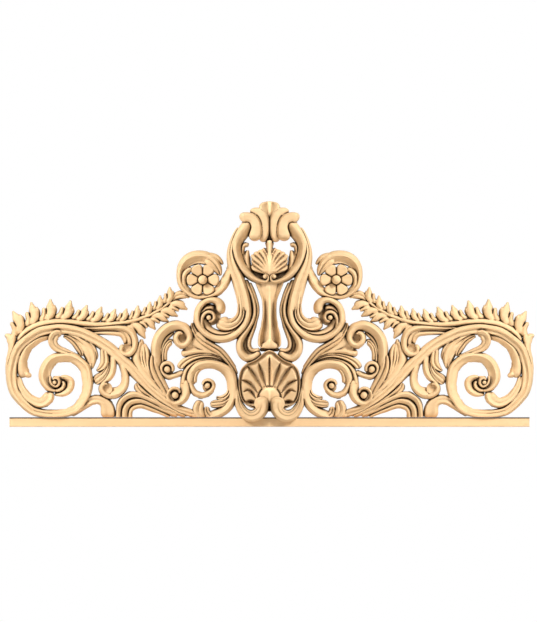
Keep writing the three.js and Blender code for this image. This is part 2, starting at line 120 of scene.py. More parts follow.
ROLL = roll
SPIRAL = drawn((-1, 0), (-0.985, 0.3), (-0.9, 0.62), (-0.72, 0.87), (-0.47, 1), (-0.25, 0.97),
               (-0.05, 0.83), (0.08, 0.73), (0.2, 0.73), (0.45, 0.8), (0.66, 0.74), (0.85, 0.52),
               (0.96, 0.28), (1, 0))
TWIN = drawn((-1, 0), (-0.985, 0.36), (-0.9, 0.72), (-0.7, 0.95), (-0.45, 1), (-0.2, 0.92),
             (0, 0.76), (0.12, 0.74), (0.3, 0.84), (0.55, 0.88), (0.78, 0.72), (0.94, 0.4),
             (0.99, 0.2), (1, 0))
TRIPLE = drawn((-1, 0), (-0.98, 0.4), (-0.86, 0.76), (-0.66, 0.88), (-0.44, 0.8), (-0.32, 0.74),
               (-0.2, 0.86), (0, 1), (0.2, 0.88), (0.32, 0.74), (0.46, 0.8), (0.68, 0.86),
               (0.86, 0.7), (0.98, 0.36), (1, 0))
LEAF = drawn((-1, 0), (-0.98, 0.36), (-0.88, 0.66), (-0.6, 0.88), (-0.25, 0.9), (-0.06, 0.78),
             (0.03, 0.76), (0.2, 0.9), (0.5, 1), (0.78, 0.84), (0.94, 0.5), (0.99, 0.24), (1, 0))
TROUGH = mirrored((-1, 0), (-0.97, 0.6), (-0.85, 0.98), (-0.5, 0.86), (0, 0.78))
COVE = drawn((-1, 0), (-0.97, 0.36), (-0.86, 0.66), (-0.65, 0.88), (-0.4, 1), (-0.15, 0.96),
             (0.1, 0.78), (0.35, 0.56), (0.65, 0.48), (0.86, 0.54), (0.96, 0.34), (1, 0))
LEAN = drawn((-1, 0), (-0.98, 0.34), (-0.88, 0.65), (-0.68, 0.88), (-0.42, 1), (-0.1, 0.97),
             (0.25, 0.85), (0.6, 0.62), (0.86, 0.42), (0.97, 0.24), (1, 0))
FLUTED = drawn((-1, 0), (-0.98, 0.46), (-0.88, 0.8), (-0.64, 0.97), (-0.3, 1), (-0.06, 0.92),
               (0.04, 0.83), (0.14, 0.88), (0.3, 0.92), (0.44, 0.84), (0.52, 0.72), (0.6, 0.76),
               (0.76, 0.72), (0.9, 0.54), (0.98, 0.28), (1, 0))
PLANK = drawn((-1, 0), (-0.985, 0.6), (-0.93, 0.84), (-0.8, 0.95), (-0.5, 1), (0, 0.97),
              (0.5, 0.93), (0.8, 0.86), (0.93, 0.72), (0.985, 0.48), (1, 0))
BLADE = drawn((-1, 0), (-0.98, 0.4), (-0.85, 0.75), (-0.5, 0.95), (-0.1, 1), (0.3, 0.96),
              (0.7, 0.78), (0.92, 0.46), (0.99, 0.24), (1, 0))

# The strands. Each row: section, side, crest heights in mm from root to tip, and the spine as
# [u, v, width] in squares. Side 1 keeps the section as written, -1 turns it over.

GREAT_SPIRAL = [
    ((SPIRAL, SPIRAL, SPIRAL, COVE), 1, (20, 26, 29, 31, 31, 31, 30, 29, 27), [
        (74, 12.5, 5), (80, 14, 6), (90, 17.5, 6.5), (100, 23, 7), (110, 30, 8), (120, 38.5, 8),
        (130, 49, 9), (140, 60, 10.5), (150, 69, 10.5), (160, 78, 11), (170, 85, 10),
        (180, 90, 10.5), (190, 94.5, 9.8), (200, 97, 9.5), (210, 98, 9.5), (220, 97, 9),
        (230, 94.7, 9.3), (240, 88.5, 8.8), (251, 78.5, 9), (255.8, 66, 9), (258, 52, 10),
        (255.4, 36.5, 9.2), (250.8, 29, 8.4), (243, 20.8, 7.8), (236.2, 16, 7.6),
        (226, 13.5, 7.2), (213, 12.7, 6.6), (202, 14.2, 6.8), (192.5, 18.5, 7.5),
        (187, 26, 7.8), (183, 33, 8), (181.7, 42, 9.2), (182.3, 50, 9.8), (184.2, 58, 9.5),
        (189.3, 64.3, 8.5), (197, 69, 8.3), (206, 70, 8.3), (213, 68.9, 9), (219.8, 64.4, 10),
        (223.9, 56.8, 10.8), (224.9, 49.5, 10.6), (223, 42.6, 8), (218.6, 38, 5),
        (213, 36.6, 3)]),
    # Coil and lobes round the eye
    (ROLL, 1, (24, 26, 28, 29), [
        (219.6, 51, 2.2), (219.3, 46, 2.8), (217.2, 42, 3), (213.5, 40.6, 3), (210.7, 43.2, 3),
        (211.2, 47, 2.8), (214.4, 48.6, 2.4), (216.7, 46.8, 1.4)]),
    (LEAN, -1, (20, 25, 26, 25, 20), [
        (209, 49.4, 2.5), (203.8, 48.9, 4.6), (199, 45.2, 6.4), (200.3, 37.9, 6.5),
        (205.8, 33.9, 6), (210.9, 32.8, 3.6), (215, 33, 2)]),
    (ROLL, 1, (20, 24, 24, 20), [
        (216.5, 36.4, 2.6), (210.8, 36.6, 3.6), (206.8, 39.3, 4), (205.6, 43, 3.2),
        (207.3, 45.6, 1.8)]),
]

SPIRAL_LEAVES = [
    # A slim leaf outside the spiral, flaring outwards at its top
    (ROLL, 1, (16, 20, 21, 21, 16), [
        (262.8, 52, 1), (262.2, 62.5, 2), (259.2, 73.2, 3.4), (257.6, 78.2, 5), (257.4, 82.5, 6.4),
        (258.4, 87, 7.6), (260.4, 90, 5.6), (264.6, 92, 0.8)]),
    (ROLL, 1, (18, 21, 20), [(256.6, 82, 4), (256.2, 87.5, 5.4), (256.4, 93, 3.6)]),
    # A broad leaf inside it on the left
    (LEAN, 1, (18, 22, 24, 24, 23, 20), [
        (217, 90.6, 3.4), (224, 89.2, 4.4), (231.6, 86.5, 5), (237.3, 82.6, 5.6),
        (242.3, 77.6, 6.6), (245.4, 71.8, 7.6), (247.4, 65, 8.8), (247.6, 59, 9.4),
        (246.2, 54.6, 10.4), (243.4, 50, 11.4)]),
    (ROLL, 1, (22, 21, 17), [(245, 54, 5), (241.4, 51.6, 4), (238, 50.8, 1)]),
    # A long leaf along its foot that ends in a knob
    (TWIN, 1, (16, 20, 23, 25, 28, 29, 29), [
        (252, 51, 3), (251, 48, 4.6), (249.6, 42.5, 5.8), (247, 36.8, 6.4), (243.8, 32, 7),
        (239.9, 28, 7.6), (235.5, 25.2, 8.2), (229.5, 23.6, 8.6), (223.9, 26, 9.6),
        (220.9, 30.4, 10.8), (221.3, 35.4, 10.8)]),
    # A curl that rises from the inner turn to the stem
    (TWIN, -1, (20, 24, 27, 31, 34, 35), [
        (189, 70, 1.5), (196, 72.3, 3.2), (203, 74.6, 4.6), (210, 77.3, 6), (215, 81, 7.2),
        (216.8, 86, 8), (215.2, 90.8, 8.8), (211.4, 92.8, 8.6), (208.4, 91.2, 7.8)]),
]

TUFTS = [
    (LEAF, 1, (20, 25, 24, 20), [
        (206, 91, 2), (201, 89, 3.6), (195.5, 85, 4.6), (191.5, 79.8, 5), (188.5, 75, 4.6),
        (187.4, 70.4, 1.5)]),
    (LEAF, 1, (19, 23, 24, 22, 17), [
        (203, 91.5, 3), (195, 88.3, 6.5), (188, 83.5, 9.6), (182, 77.5, 11.5), (178.5, 70, 10.5),
        (178, 63.5, 7), (177.6, 58, 1)]),
    (LEAF, 1, (18, 20, 20, 16), [
        (186, 87, 3), (180, 82.5, 5), (176, 76.5, 5.4), (173.8, 71, 4), (173.4, 67, 0.8)]),
    (LEAF, 1, (20, 24, 24, 18), [
        (166, 81, 3), (165.6, 75, 6.4), (164.9, 69, 7.4), (165.2, 63.5, 7.6), (168, 59.4, 6),
        (172.9, 55.9, 0.6)]),
    (LEAN, -1, (20, 23, 24, 23, 20), [
        (161, 79, 2), (158.6, 74, 4), (157, 68, 6.2), (156.8, 61.8, 6.6), (157.8, 55.6, 7),
        (160.4, 50.6, 7), (164.4, 46.6, 5.4), (169.4, 43.2, 2.6)]),
    (TRIPLE, 1, (18, 22, 24, 24, 21), [
        (162, 67, 2), (161.9, 60, 3.4), (164.6, 54, 5.6), (168.4, 49.8, 8), (172.4, 46.6, 8.6),
        (175.6, 44.2, 5)]),
]

HOOK = [
    (LEAN, -1, (20, 25, 27, 28, 28, 27), [
        (150, 65, 2.5), (146.5, 58, 5), (144.2, 51.5, 6), (143.9, 46, 6.2), (145.5, 40.4, 7),
        (148.6, 36.5, 8), (153, 34, 9.4), (158, 33.4, 10.2), (161.5, 34.4, 10)]),
    (ROLL, 1, (28, 28, 28, 27, 24), [
        (156, 30.8, 4.5), (161, 31, 5), (165.6, 33.4, 5), (168.2, 37.6, 4.6), (167.2, 41.6, 3.8),
        (164, 43.2, 3), (161.3, 42.4, 1.8)]),
]

RAIL_LEAVES = [
    # The arch beside the great spiral
    (TWIN, 1, (17, 22, 25, 24, 23, 22), [
        (198, 11.6, 2), (191, 17, 4.4), (184, 23.5, 8), (177.5, 26.8, 7.6), (171, 27, 7.6),
        (166, 25, 9), (162.5, 20.4, 12), (161.2, 14.6, 13.8), (161.4, 7.5, 14.4)]),
    # Long leaves that sweep inwards from the rail
    (LEAN, -1, (24, 26, 26, 25, 21, 16), [
        (150.5, 7, 4.6), (150.5, 16, 4.8), (149.2, 22.4, 5.2), (146.1, 27.2, 5.8),
        (142.3, 29.9, 6), (138, 31.5, 6.4), (132, 31.4, 5.6), (124, 28.6, 4.8), (114, 24, 4.2),
        (104, 19.2, 3.8), (93, 13.8, 3), (84, 10.4, 2)]),
    (LEAN, -1, (22, 23, 23, 21, 18, 15), [
        (144.4, 7, 6.4), (144.2, 16, 6.2), (142.2, 20.6, 6), (138.8, 23.8, 5.6),
        (134.2, 25.2, 5.6), (129, 25.4, 5), (123, 23.6, 4.6), (114, 19.6, 4), (104, 15, 3.4),
        (92, 10.8, 2)]),
    (ROLL, 1, (20, 20, 19, 16), [
        (139.4, 7, 3.4), (139, 15.3, 3), (136.6, 18.8, 2.8), (132.6, 20.5, 2.8), (128, 21, 2.8),
        (123, 19.6, 2.6), (115.5, 16.6, 2.2), (106, 12.6, 1.6), (100, 9.6, 1)]),
    (LEAF, 1, (19, 22, 21, 17), [
        (132.7, 44, 2), (131.8, 40, 5.4), (129.5, 36.3, 6.6), (125, 32.2, 6.4),
        (119, 28.3, 5.2), (112, 23.7, 4.2), (104, 18.6, 3.2), (92, 13, 2)]),
]

FRIEZE_STEM = [
    (ROLL, 1, (18, 23, 25, 24, 22, 20, 17), [
        (252, 86, 3), (246, 93.5, 5), (238, 99, 6), (228, 102.8, 6), (215, 104.8, 5.6),
        (200, 104.6, 5.2), (185, 103, 4.8), (170, 102.2, 4.4), (155, 103, 3.9),
        (142, 104.8, 3.6), (130, 108, 3.3), (118, 112.8, 2.9), (108, 118.3, 2.5),
        (98.3, 125.6, 1.8)]),
    (ROLL, 1, (14, 19, 20, 19, 14), [
        (250, 82, 2), (243, 91.5, 3), (230, 98.6, 3), (215, 101.4, 3), (200, 100.9, 2.6),
        (185, 98, 1)]),
    # The band beside it that runs out into the hanging curl, its dish and its lip
    (ROLL, 1, (18, 20, 23, 26, 28, 28, 28, 27, 24), [
        (192, 98.9, 1.5), (176, 98.7, 2.4), (160, 99.2, 3.4), (151, 99.2, 4.4),
        (143.5, 97.6, 5.4), (137.8, 93.6, 5.8), (135, 88, 5.8), (134.6, 82, 5.8),
        (136, 77, 5.8), (139.8, 73.2, 5.6), (144.6, 72.4, 5), (148.2, 75.2, 4.6),
        (148, 79.2, 3.6), (145.6, 81.8, 1.8)]),
    (LEAN, -1, (14, 17, 20, 21, 20, 18), [
        (180, 96.5, 2.6), (168, 96.6, 3.4), (159.5, 96.8, 4), (151, 96.2, 5.4),
        (144.5, 92.8, 6.4), (141.2, 87.5, 7), (141, 81.5, 8.4), (142.6, 77, 8.6)]),
    (ROLL, 1, (18, 22, 24, 24, 20), [
        (176, 93.4, 1.5), (168, 93.8, 2.4), (159.5, 93.8, 3), (153, 93.4, 3.6),
        (149.2, 92.9, 4), (146, 90.7, 4.4), (144.4, 87.4, 4.4), (144.7, 83, 0.6)]),
    # The leaf at the frieze's inner end
    (LEAF, 1, (15, 17, 16), [
        (97.5, 126, 2), (94, 130, 5), (89, 132, 6.4), (84.5, 132, 5.4), (79.5, 130, 2)]),
]

CLIMBING_LEAF = [
    (BLADE, 1, (20, 25, 26, 24, 20), [
        (100, 26, 4), (110, 36, 5.5), (119, 44.5, 6.5), (126.5, 53, 7.5), (131.3, 61, 7.6),
        (133.4, 67.5, 7.6), (132.6, 73.5, 5.6), (131, 79, 3.4), (129, 85, 2)]),
    (ROLL, 1, (18, 22, 23, 22, 19, 16), [
        (101, 28, 3), (112, 41, 4.5), (120.5, 50.5, 4.5), (125.5, 59, 4), (128, 67, 3.4),
        (128.5, 75, 4), (128.2, 82, 4.2), (127.6, 87.6, 0.8)]),
    (ROLL, 1, (17, 21, 22, 21, 17), [
        (103, 30, 3), (113, 42, 4), (119.5, 51, 4), (123.4, 60, 3.6), (125.4, 68, 3),
        (126, 76, 3.2), (126.6, 83, 2.5)]),
    (ROLL, 1, (16, 20, 21, 20, 16), [
        (104, 31, 3), (112, 41, 4), (117.6, 50, 4), (121, 58, 3.6), (122, 64, 3.6),
        (122, 71, 4.6), (123, 77, 4), (125.5, 83, 1.5)]),
    (LEAF, 1, (20, 26, 31, 33, 26), [
        (96, 24, 4), (101, 31, 6), (106.5, 41, 7.5), (111.5, 50, 9), (115, 58.5, 8),
        (116.2, 66, 5.8), (116, 72, 3.4)]),
]

SMALL_VOLUTES = [
    (ROLL, 1, (20, 24, 27, 28, 28, 28), [
        (86, 55, 3), (91.5, 52.4, 4), (96.5, 50.8, 4.2), (101, 50.1, 4.2), (105, 51.8, 4),
        (107.8, 55.3, 3.8), (108.2, 59.4, 3.6), (105.8, 62.8, 3.4), (102, 63.7, 3.2),
        (98.3, 62, 3), (96.7, 58.6, 2.8), (97.2, 55.2, 2)]),
    (LEAN, -1, (22, 25, 28, 28, 28, 28), [
        (85.6, 47.5, 6), (84.6, 42, 8.6), (84.2, 36, 9.6), (86.2, 29.5, 9), (90, 25.4, 7),
        (95, 23.8, 5), (99.4, 26.4, 3.8), (101.4, 31, 3.4), (99.6, 35.8, 3.2), (95.4, 38.1, 3),
        (91.2, 36.8, 2.6), (90, 33.5, 1.8)]),
]

CROZIER = [
    ((LEAN, LEAN, LEAN, ROLL, ROLL), -1, (18, 25, 30, 32, 32, 32, 32, 31, 29), [
        (107, 50, 5), (109, 56, 7), (111.6, 64, 8.6), (112.6, 72, 9.4), (112.4, 80, 10),
        (110.3, 88, 10), (105.8, 94.6, 9.8), (98.5, 99.6, 9.6), (91, 100.5, 9.2),
        (84.5, 98, 8.2), (80.6, 93, 7), (80, 88, 6.2), (82.4, 83.6, 5.6), (87, 81.4, 5.6),
        (91.4, 84, 5.6), (93.3, 89, 5.4), (91.4, 93.2, 4.8), (88.6, 93.8, 4), (87, 92, 2.4)]),
    (ROLL, 1, (18, 21, 21, 17), [
        (104.2, 66, 2.6), (104.2, 74, 2.6), (102.6, 80, 2.8), (99.8, 83.4, 3),
        (97.4, 84.4, 2.4)]),
    (ROLL, 1, (18, 21, 21, 17), [
        (107, 64, 2), (106.6, 73, 2.2), (105.4, 79, 2.4), (102.4, 84, 2.4), (99.4, 86.4, 2.2),
        (97, 85.6, 1.4)]),
    (ROLL, 1, (18, 21, 21, 16), [
        (108.5, 72, 2), (106.5, 82, 2.4), (102.5, 88.6, 2.6), (98, 92.6, 2.2),
        (95.4, 94.6, 1)]),
]

SHEAF = [
    (LEAF, 1, (19, 24, 27, 28, 28, 26, 20), [
        (33, 52, 2.5), (36, 58, 4.2), (40, 64, 5), (45, 70.5, 5.6), (50, 75.5, 6),
        (55.5, 79, 6.4), (62, 82.8, 6.6), (68.5, 87.2, 6.4), (73, 92.3, 5.8), (76, 97.8, 4.4),
        (77.5, 104, 1)]),
    (ROLL, 1, (18, 21, 24, 25, 24), [
        (44, 68.5, 2), (54, 73.6, 3.2), (64, 75.4, 4.4), (74, 75.4, 5.4), (83, 73.8, 6),
        (88.3, 73.2, 5)]),
    (TROUGH, 1, (19, 24, 26, 26), [
        (46, 70.5, 2), (54, 75, 4.4), (62, 79.5, 8), (69, 84.5, 12), (74, 89, 14),
        (78, 93.5, 12)]),
    (TROUGH, 1, (18, 22, 24, 23), [(56, 75.4, 3), (66, 78.4, 6), (76, 80.6, 9), (86, 80, 8)]),
    (LEAF, 1, (16, 21, 24, 24, 22), [
        (43, 64.5, 1.5), (50, 68.6, 2.6), (57, 71, 3.2), (65, 71.6, 3.6), (73, 70.3, 4.2),
        (80, 67.8, 5.4), (85.5, 64.3, 6.4), (88.8, 60.6, 6), (90, 58, 3.6)]),
    (ROLL, 1, (15, 19, 21, 22, 22), [
        (47, 66, 1.5), (55, 67.6, 2), (63, 67.6, 2.4), (71, 66.1, 3), (77, 63.1, 3.4),
        (82, 58.5, 3.6), (84.8, 53, 3.8), (86, 47.5, 3.6), (86.3, 42.5, 3)]),
]

CARTOUCHE_RING = [
    (LEAN, -1, (22, 28, 31, 31, 31, 29, 26, 22), [
        (78.2, 41.5, 7), (78.1, 49, 9.4), (75.2, 56, 9), (70.5, 60.6, 8.4), (63.6, 62.5, 7.6),
        (56, 62.4, 7.6), (48.5, 60, 8.4), (42.2, 56, 9.2), (38.2, 50, 9.8), (36.5, 42, 9.6),
        (36.6, 34, 9.2), (38.2, 26.5, 9), (42, 20, 8.8), (47.5, 15.4, 8.4), (54, 12.4, 8),
        (61, 10.6, 6)]),
    (ROLL, 1, (24, 24), [(74.6, 43.8, 2.6), (74.5, 49, 3), (73, 54, 2.6), (69.5, 58, 2)]),
    # Leaf lobes inside the ring's foot
    (LEAF, 1, (20, 23, 23, 18), [
        (40, 37, 2.5), (42, 32.4, 3.6), (46, 29.4, 4), (50, 28.6, 3.2), (53.2, 29.6, 1)]),
    (TRIPLE, 1, (20, 23, 24, 23), [
        (39, 32, 3), (42, 26.8, 4.6), (47, 24, 5.8), (52.5, 23.2, 6.8), (57, 22.8, 5.2),
        (59.4, 22.9, 2.4)]),
    (LEAF, 1, (22, 23, 22), [(55, 9.5, 6), (60.3, 11.8, 6), (62.8, 16, 4.6), (62.3, 20.2, 3.6)]),
    # The little volute inside the ring
    (ROLL, 1, (22, 26, 29, 30, 30, 29), [
        (79.6, 46, 3), (78.4, 41, 4), (76, 36.2, 4.4), (73.3, 33.4, 4.8), (69, 31.6, 4.8),
        (64.5, 31.9, 4.4), (60, 34.8, 4), (56.9, 38.5, 3.4), (56, 42, 3), (58, 45.4, 2.6),
        (62, 46.7, 2.4), (65.6, 45, 2), (66.6, 41.8, 1.4)]),
    # Leaves that stand on the rail below it
    (LEAF, 1, (21, 24, 25, 23), [
        (65, 8, 8), (69.6, 12.6, 10.4), (71, 17.6, 10), (69.8, 22.6, 8), (68, 26.2, 5.4)]),
    (ROLL, 1, (18, 19, 15), [(74, 8.5, 4.6), (76, 13.2, 4.6), (77.4, 16.8, 2.6)]),
]

CARTOUCHE_SCROLL = [
    # Its top stands proud of the rail's face
    ((LEAN, LEAN, FLUTED, FLUTED, FLUTED, FLUTED, BLADE), 1, (20, 27, 33, 36, 37, 37), [
        (35, 56, 2), (32.8, 44, 3), (32, 36, 4.2), (31.4, 29, 5), (29.8, 21, 7.4),
        (24, 12.8, 10), (17.8, 10.6, 11), (11.4, 12.9, 12), (8, 18.6, 13), (7.9, 24, 13.6),
        (8.6, 30.4, 12.6)]),
]

CENTRE_FRAME = [
    # The inner frame, ending in a small volute under the upper shell
    ((LEAN, LEAN, ROLL, ROLL), 1, (26, 30, 33, 34, 33, 32), [
        (17.5, 204, 8), (21.5, 200.6, 11.4), (25, 196.5, 11.6), (28.8, 191, 10.4),
        (31.3, 186.5, 9.6), (32.5, 181, 9.4), (32.3, 175.5, 8.8), (31.2, 169.3, 8.4),
        (28.6, 163, 7.8), (24.8, 156.8, 7.8), (19.8, 151.5, 6.6), (13.5, 147.3, 4.6),
        (6.8, 145.2, 3), (3.2, 145.4, 2.8), (1.4, 147.6, 2.6), (1.4, 150.4, 2.4),
        (3, 152.2, 2.6), (5, 151.6, 3)]),
    # The outer frame falling from the finial
    (TWIN, -1, (20, 26, 31, 33, 33, 33), [
        (31, 199, 0.6), (34, 194, 1.4), (36, 189, 2.2), (38, 183, 2.9), (39.2, 175.5, 4.2),
        (38.7, 169.3, 6), (37.3, 163, 7.8), (35.2, 156.8, 9.6), (32.5, 150.5, 10.8),
        (30.2, 144.3, 11.4), (28, 137, 11.8), (25.9, 129, 12), (24.7, 121, 12.4),
        (24.8, 113.5, 12.8)]),
    # Its roll, turning into a spiral
    (ROLL, -1, (33, 33, 33, 32, 31, 30), [
        (21.6, 124, 5.4), (20.8, 118, 6), (20.9, 112, 6.2), (23, 104.5, 6.4), (26.5, 99, 6.6),
        (31.6, 94, 6.6), (38, 90, 6.6), (45, 88, 6.6), (53.5, 88.2, 6.6), (60.2, 90.8, 6.2),
        (65.7, 94.7, 6.2), (69.6, 99.6, 6.4), (71.8, 104.8, 6.4), (72.2, 110, 6),
        (71.4, 116, 5.6), (68.2, 121.8, 5.4), (62.8, 125.8, 5), (57, 127, 5.2),
        (52, 125, 7.2), (49.2, 121.2, 8.6), (49.2, 117, 8.6), (51, 113.6, 6.4)]),
    # The cove inside the roll, the coil round the eye and the lobe behind it
    (LEAN, -1, (19, 22, 22, 20), [
        (31, 101, 2), (37, 96.2, 3.4), (45, 93.7, 4), (52.6, 94.2, 4.8), (58.3, 96.5, 5.6),
        (62.3, 100.2, 6.6), (63.6, 105, 6.4), (63.2, 109.5, 5)]),
    (ROLL, 1, (27, 31, 31, 31, 30), [
        (66.5, 98, 2.4), (67.9, 104, 3), (67.2, 109.5, 3.4), (64.2, 113.6, 3.4),
        (60, 114.8, 3.2), (56.3, 112.6, 3.2), (55.6, 108.8, 3), (58, 106, 2.6),
        (61, 105.8, 2)]),
    (ROLL, 1, (24, 25, 22), [
        (68.6, 113.5, 1.5), (67.4, 115, 2), (63.6, 118.4, 4), (59, 119.3, 4.8),
        (55.4, 117.6, 4.6)]),
    # A leaf lobe curling out above it
    (TRIPLE, 1, (23, 31, 31, 30, 29, 29), [
        (31.2, 145, 0.4), (30.4, 138, 1.4), (29.6, 130, 3), (28.6, 121, 5.4), (28.7, 113, 7.2),
        (31.4, 107, 8.6), (36.8, 102.8, 10), (42.5, 101.8, 11.6), (47.5, 103.8, 13.4),
        (51.6, 107, 11)]),
    # The band that falls beside the column, with a thin bead inside it
    (ROLL, 1, (22, 28, 30, 30, 29, 27), [
        (24, 147, 2.4), (21.3, 140, 3.4), (18.7, 134.3, 3.2), (16.2, 127, 3.2),
        (14.8, 119.3, 3.2), (15, 112.5, 3.4), (17, 105.6, 3.8), (19.6, 101, 4.4),
        (22.4, 96.5, 5), (26.4, 91, 5.8), (29, 86, 6.2), (29.8, 81, 6.2), (28.7, 75.6, 6.8),
        (25.6, 71, 7.2), (21.2, 68.6, 7), (16.4, 69.6, 6.6), (12.6, 72, 6.4), (9.4, 75, 5.4)]),
    (ROLL, 1, (18, 23, 25, 25, 24, 23), [
        (19.8, 144, 1.6), (16.6, 136, 2.6), (13.6, 127, 2.4), (11.7, 119.3, 2), (12, 112, 2),
        (13.8, 105.6, 2), (15.6, 99.5, 2.4), (18, 93.3, 2.8), (20, 87.4, 3.2), (20.5, 82, 3.2),
        (19.4, 78.2, 3.4), (16.6, 76.2, 3.2), (12.5, 76.4, 3), (9.6, 77.6, 2.4)]),
    (ROLL, 1, (13, 13), [
        (18, 101, 2), (21, 94, 3.4), (23.6, 87.5, 4.4), (24.3, 81.5, 4.6), (23, 76, 4.6),
        (19.5, 73.3, 3.6), (15, 74, 2.6)]),
    # Small leaves beside the upper shell
    (ROLL, 1, (16, 20, 21, 19, 16), [
        (18.5, 154, 3), (21, 159.5, 4.4), (22.3, 164, 5), (22.7, 168.8, 5.2), (22.4, 172.6, 3.8),
        (21.8, 176.6, 1)]),
    (ROLL, 1, (14, 17, 17, 14), [
        (25.9, 176, 1.5), (25.6, 170, 2.4), (24.4, 164, 2.6), (21.5, 158.5, 2)]),
    (ROLL, 1, (18, 21, 22, 22, 20), [
        (27.3, 172, 1.5), (27, 177, 2.2), (26, 181, 2.6), (23.5, 182.2, 3), (20.6, 181.4, 2.6)]),
    # Sunk ground under the upper shell, deepest at its outer end
    (ROLL, 1, (7, 8, 14), [(20, 157, 3), (12, 151.6, 5.4), (3, 149, 5)]),
]

FINIAL = [
    (PLANK, 1, (22, 27, 30, 31, 31, 29, 22), [
        (7.4, 184.8, 5.6), (6.5, 187.8, 6.2), (4.7, 193.8, 7.2), (4.1, 201, 7.4), (5.4, 208.5, 8.6),
        (8.9, 213.6, 8.2), (13, 215.2, 7), (16.5, 215.6, 5), (19.4, 215.2, 1.4)]),
    (PLANK, 1, (28, 32, 33, 33, 32, 30), [
        (15.2, 185.6, 10.6), (14.8, 189.5, 10.8), (13, 195.8, 10.4), (13.1, 201.6, 9.4),
        (15.9, 207.2, 9), (22, 209.7, 8.4), (26.5, 209, 9), (29.6, 207.6, 8.8)]),
]

ROSETTE_CURL = [
    (COVE, -1, (22, 22, 22, 23, 24, 26, 28, 28, 28, 26), [
        (37.6, 166, 2.6), (39.4, 158.5, 4.6), (42, 150.6, 7.4), (46, 143, 8.2), (50.5, 137, 7.6),
        (56.5, 132.8, 6), (62, 130.8, 5), (67, 130.2, 4.6), (74.5, 131.2, 5), (80.8, 134.6, 5.6),
        (86, 140, 6.6), (88.6, 146.5, 6.6), (89, 153, 6.8), (87.2, 159.6, 8.8), (83, 165, 11),
        (77, 168.6, 12), (70, 169.7, 12), (63, 168.6, 12), (58, 166, 12.6)]),
    (LEAF, 1, (24, 28, 28, 25, 19), [
        (66, 169, 8), (60, 167, 11), (55, 162.5, 10), (51, 156.5, 6.4), (48.9, 151.2, 0.8)]),
    (ROLL, 1, (20, 22, 21, 16), [
        (62, 171.5, 5), (54, 169.6, 5), (49.4, 165.8, 3.6), (46.5, 162.4, 0.6)]),
    (ROLL, 1, (18, 24, 24, 20), [
        (80, 134.5, 3), (85, 140.5, 4.4), (86.3, 147, 5), (85.2, 152.6, 5.6),
        (81.8, 156.4, 5.2), (77.5, 158.2, 3)]),
]

# Buttons: [u, v, radius, height in mm at the rim, height at the middle]
EYES = [
    (214.9, 44.3, 2.1, 24, 31), (102.3, 57.4, 3.4, 22, 30), (94.5, 31.6, 3.5, 22, 30),
    (62, 41.2, 3.1, 22, 31), (60.6, 109.2, 2.5, 26, 33), (66.8, 147, 4.5, 22, 31),
    (4.3, 150.2, 2.4, 26, 35),
]
# Sunk grounds that carry the eyes and the rosette: [u, v, radius, height, height]
GROUNDS = [
    (211, 43, 8, 9, 10), (102, 57.5, 6.5, 13, 14), (95, 31.5, 6.5, 13, 14),
    (61.6, 40, 5.5, 13, 14), (59.6, 112, 11, 9, 9), (66.8, 147, 12.8, 9, 10),
    (66.8, 147, 8.6, 11, 12.5), (83.2, 89.5, 7.2, 25, 16), (163, 38.4, 6, 25, 18),
    (143, 77.5, 5.6, 24, 17), (75, 83, 6, 12, 13), (8.2, 23.1, 7.1, 29, 31),
]
EYE_SPOKES = 22

# Frieze bud leaves: [root u, root v, tip u, tip v]
UPPER_BUDS = [
    (247.5, 94.5, 256.8, 115.8), (235, 102.5, 238.4, 124.8), (221, 105.5, 219, 127.8),
    (206, 106, 198.6, 126.4), (191, 105, 182.3, 121.8), (177, 103.5, 167.7, 120.2),
    (162, 103.2, 154, 118), (148.2, 104.5, 142.8, 118.4), (135.2, 106.5, 131.4, 121.4),
    (122.6, 110.6, 119.3, 125.2), (111.2, 116.6, 109.3, 131.4), (100.4, 124, 99.8, 140),
]
LOWER_BUDS = [
    (98.3, 124.3, 82, 117.3), (108, 117.8, 91.6, 110.4), (117, 113, 100.8, 104.8),
    (126, 109, 114, 97.2), (137, 105, 124.2, 88.2),
]
BUD_TOP = 18                  # mm
BUD_TRIM = 0.7                # squares taken off a bud's widths, which strand() spreads again
BUD_STEP = 1.6                # squares between two stations
BUD_ACROSS = 9                # places across
# A bud leaf's parts: section, crest heights in mm above BUD_TOP, and the path as shares of the
# leaf's length: [forward from the root, sideways, width]
BUD_PARTS = [
    # Blade
    (BLADE, (-3, 1, 3, 3, 1, -3), [
        (-0.08, 0.14, 0.28), (0.14, 0.04, 0.32), (0.32, -0.05, 0.38), (0.48, -0.065, 0.39),
        (0.62, -0.035, 0.37), (0.76, -0.02, 0.26), (0.9, -0.005, 0.12), (1, 0, 0.01)]),
    # Lobe beside its foot
    (ROLL, (-3, 1, 2, 1), [
        (-0.1, 0.35, 0.3), (0.06, 0.3, 0.3), (0.22, 0.235, 0.23), (0.38, 0.235, 0.18),
        (0.5, 0.245, 0.16), (0.59, 0.24, 0.09)]),
    # Notched far edge
    (ROLL, (-6, -2, -0.5, -2), [
        (0.1, -0.1, 0.2), (0.35, -0.18, 0.18), (0.55, -0.22, 0.14), (0.67, -0.215, 0.09),
        (0.75, -0.19, 0.01)]),
    # Ground that joins blade and lobe at the root
    (ROLL, (-4, -1, 0, -3), [
        (-0.1, 0.24, 0.44), (0.08, 0.2, 0.4), (0.22, 0.15, 0.3), (0.36, 0.13, 0.16)]),
    # Low grounds in the slit and behind the far edge
    (ROLL, (-8, -8), [(0.2, 0.16, 0.3), (0.36, 0.17, 0.22), (0.48, 0.18, 0.12)]),
    (ROLL, (-9, -9, -9), [
        (0.06, -0.08, 0.16), (0.36, -0.25, 0.1), (0.56, -0.28, 0.08), (0.66, -0.25, 0.02)]),
]

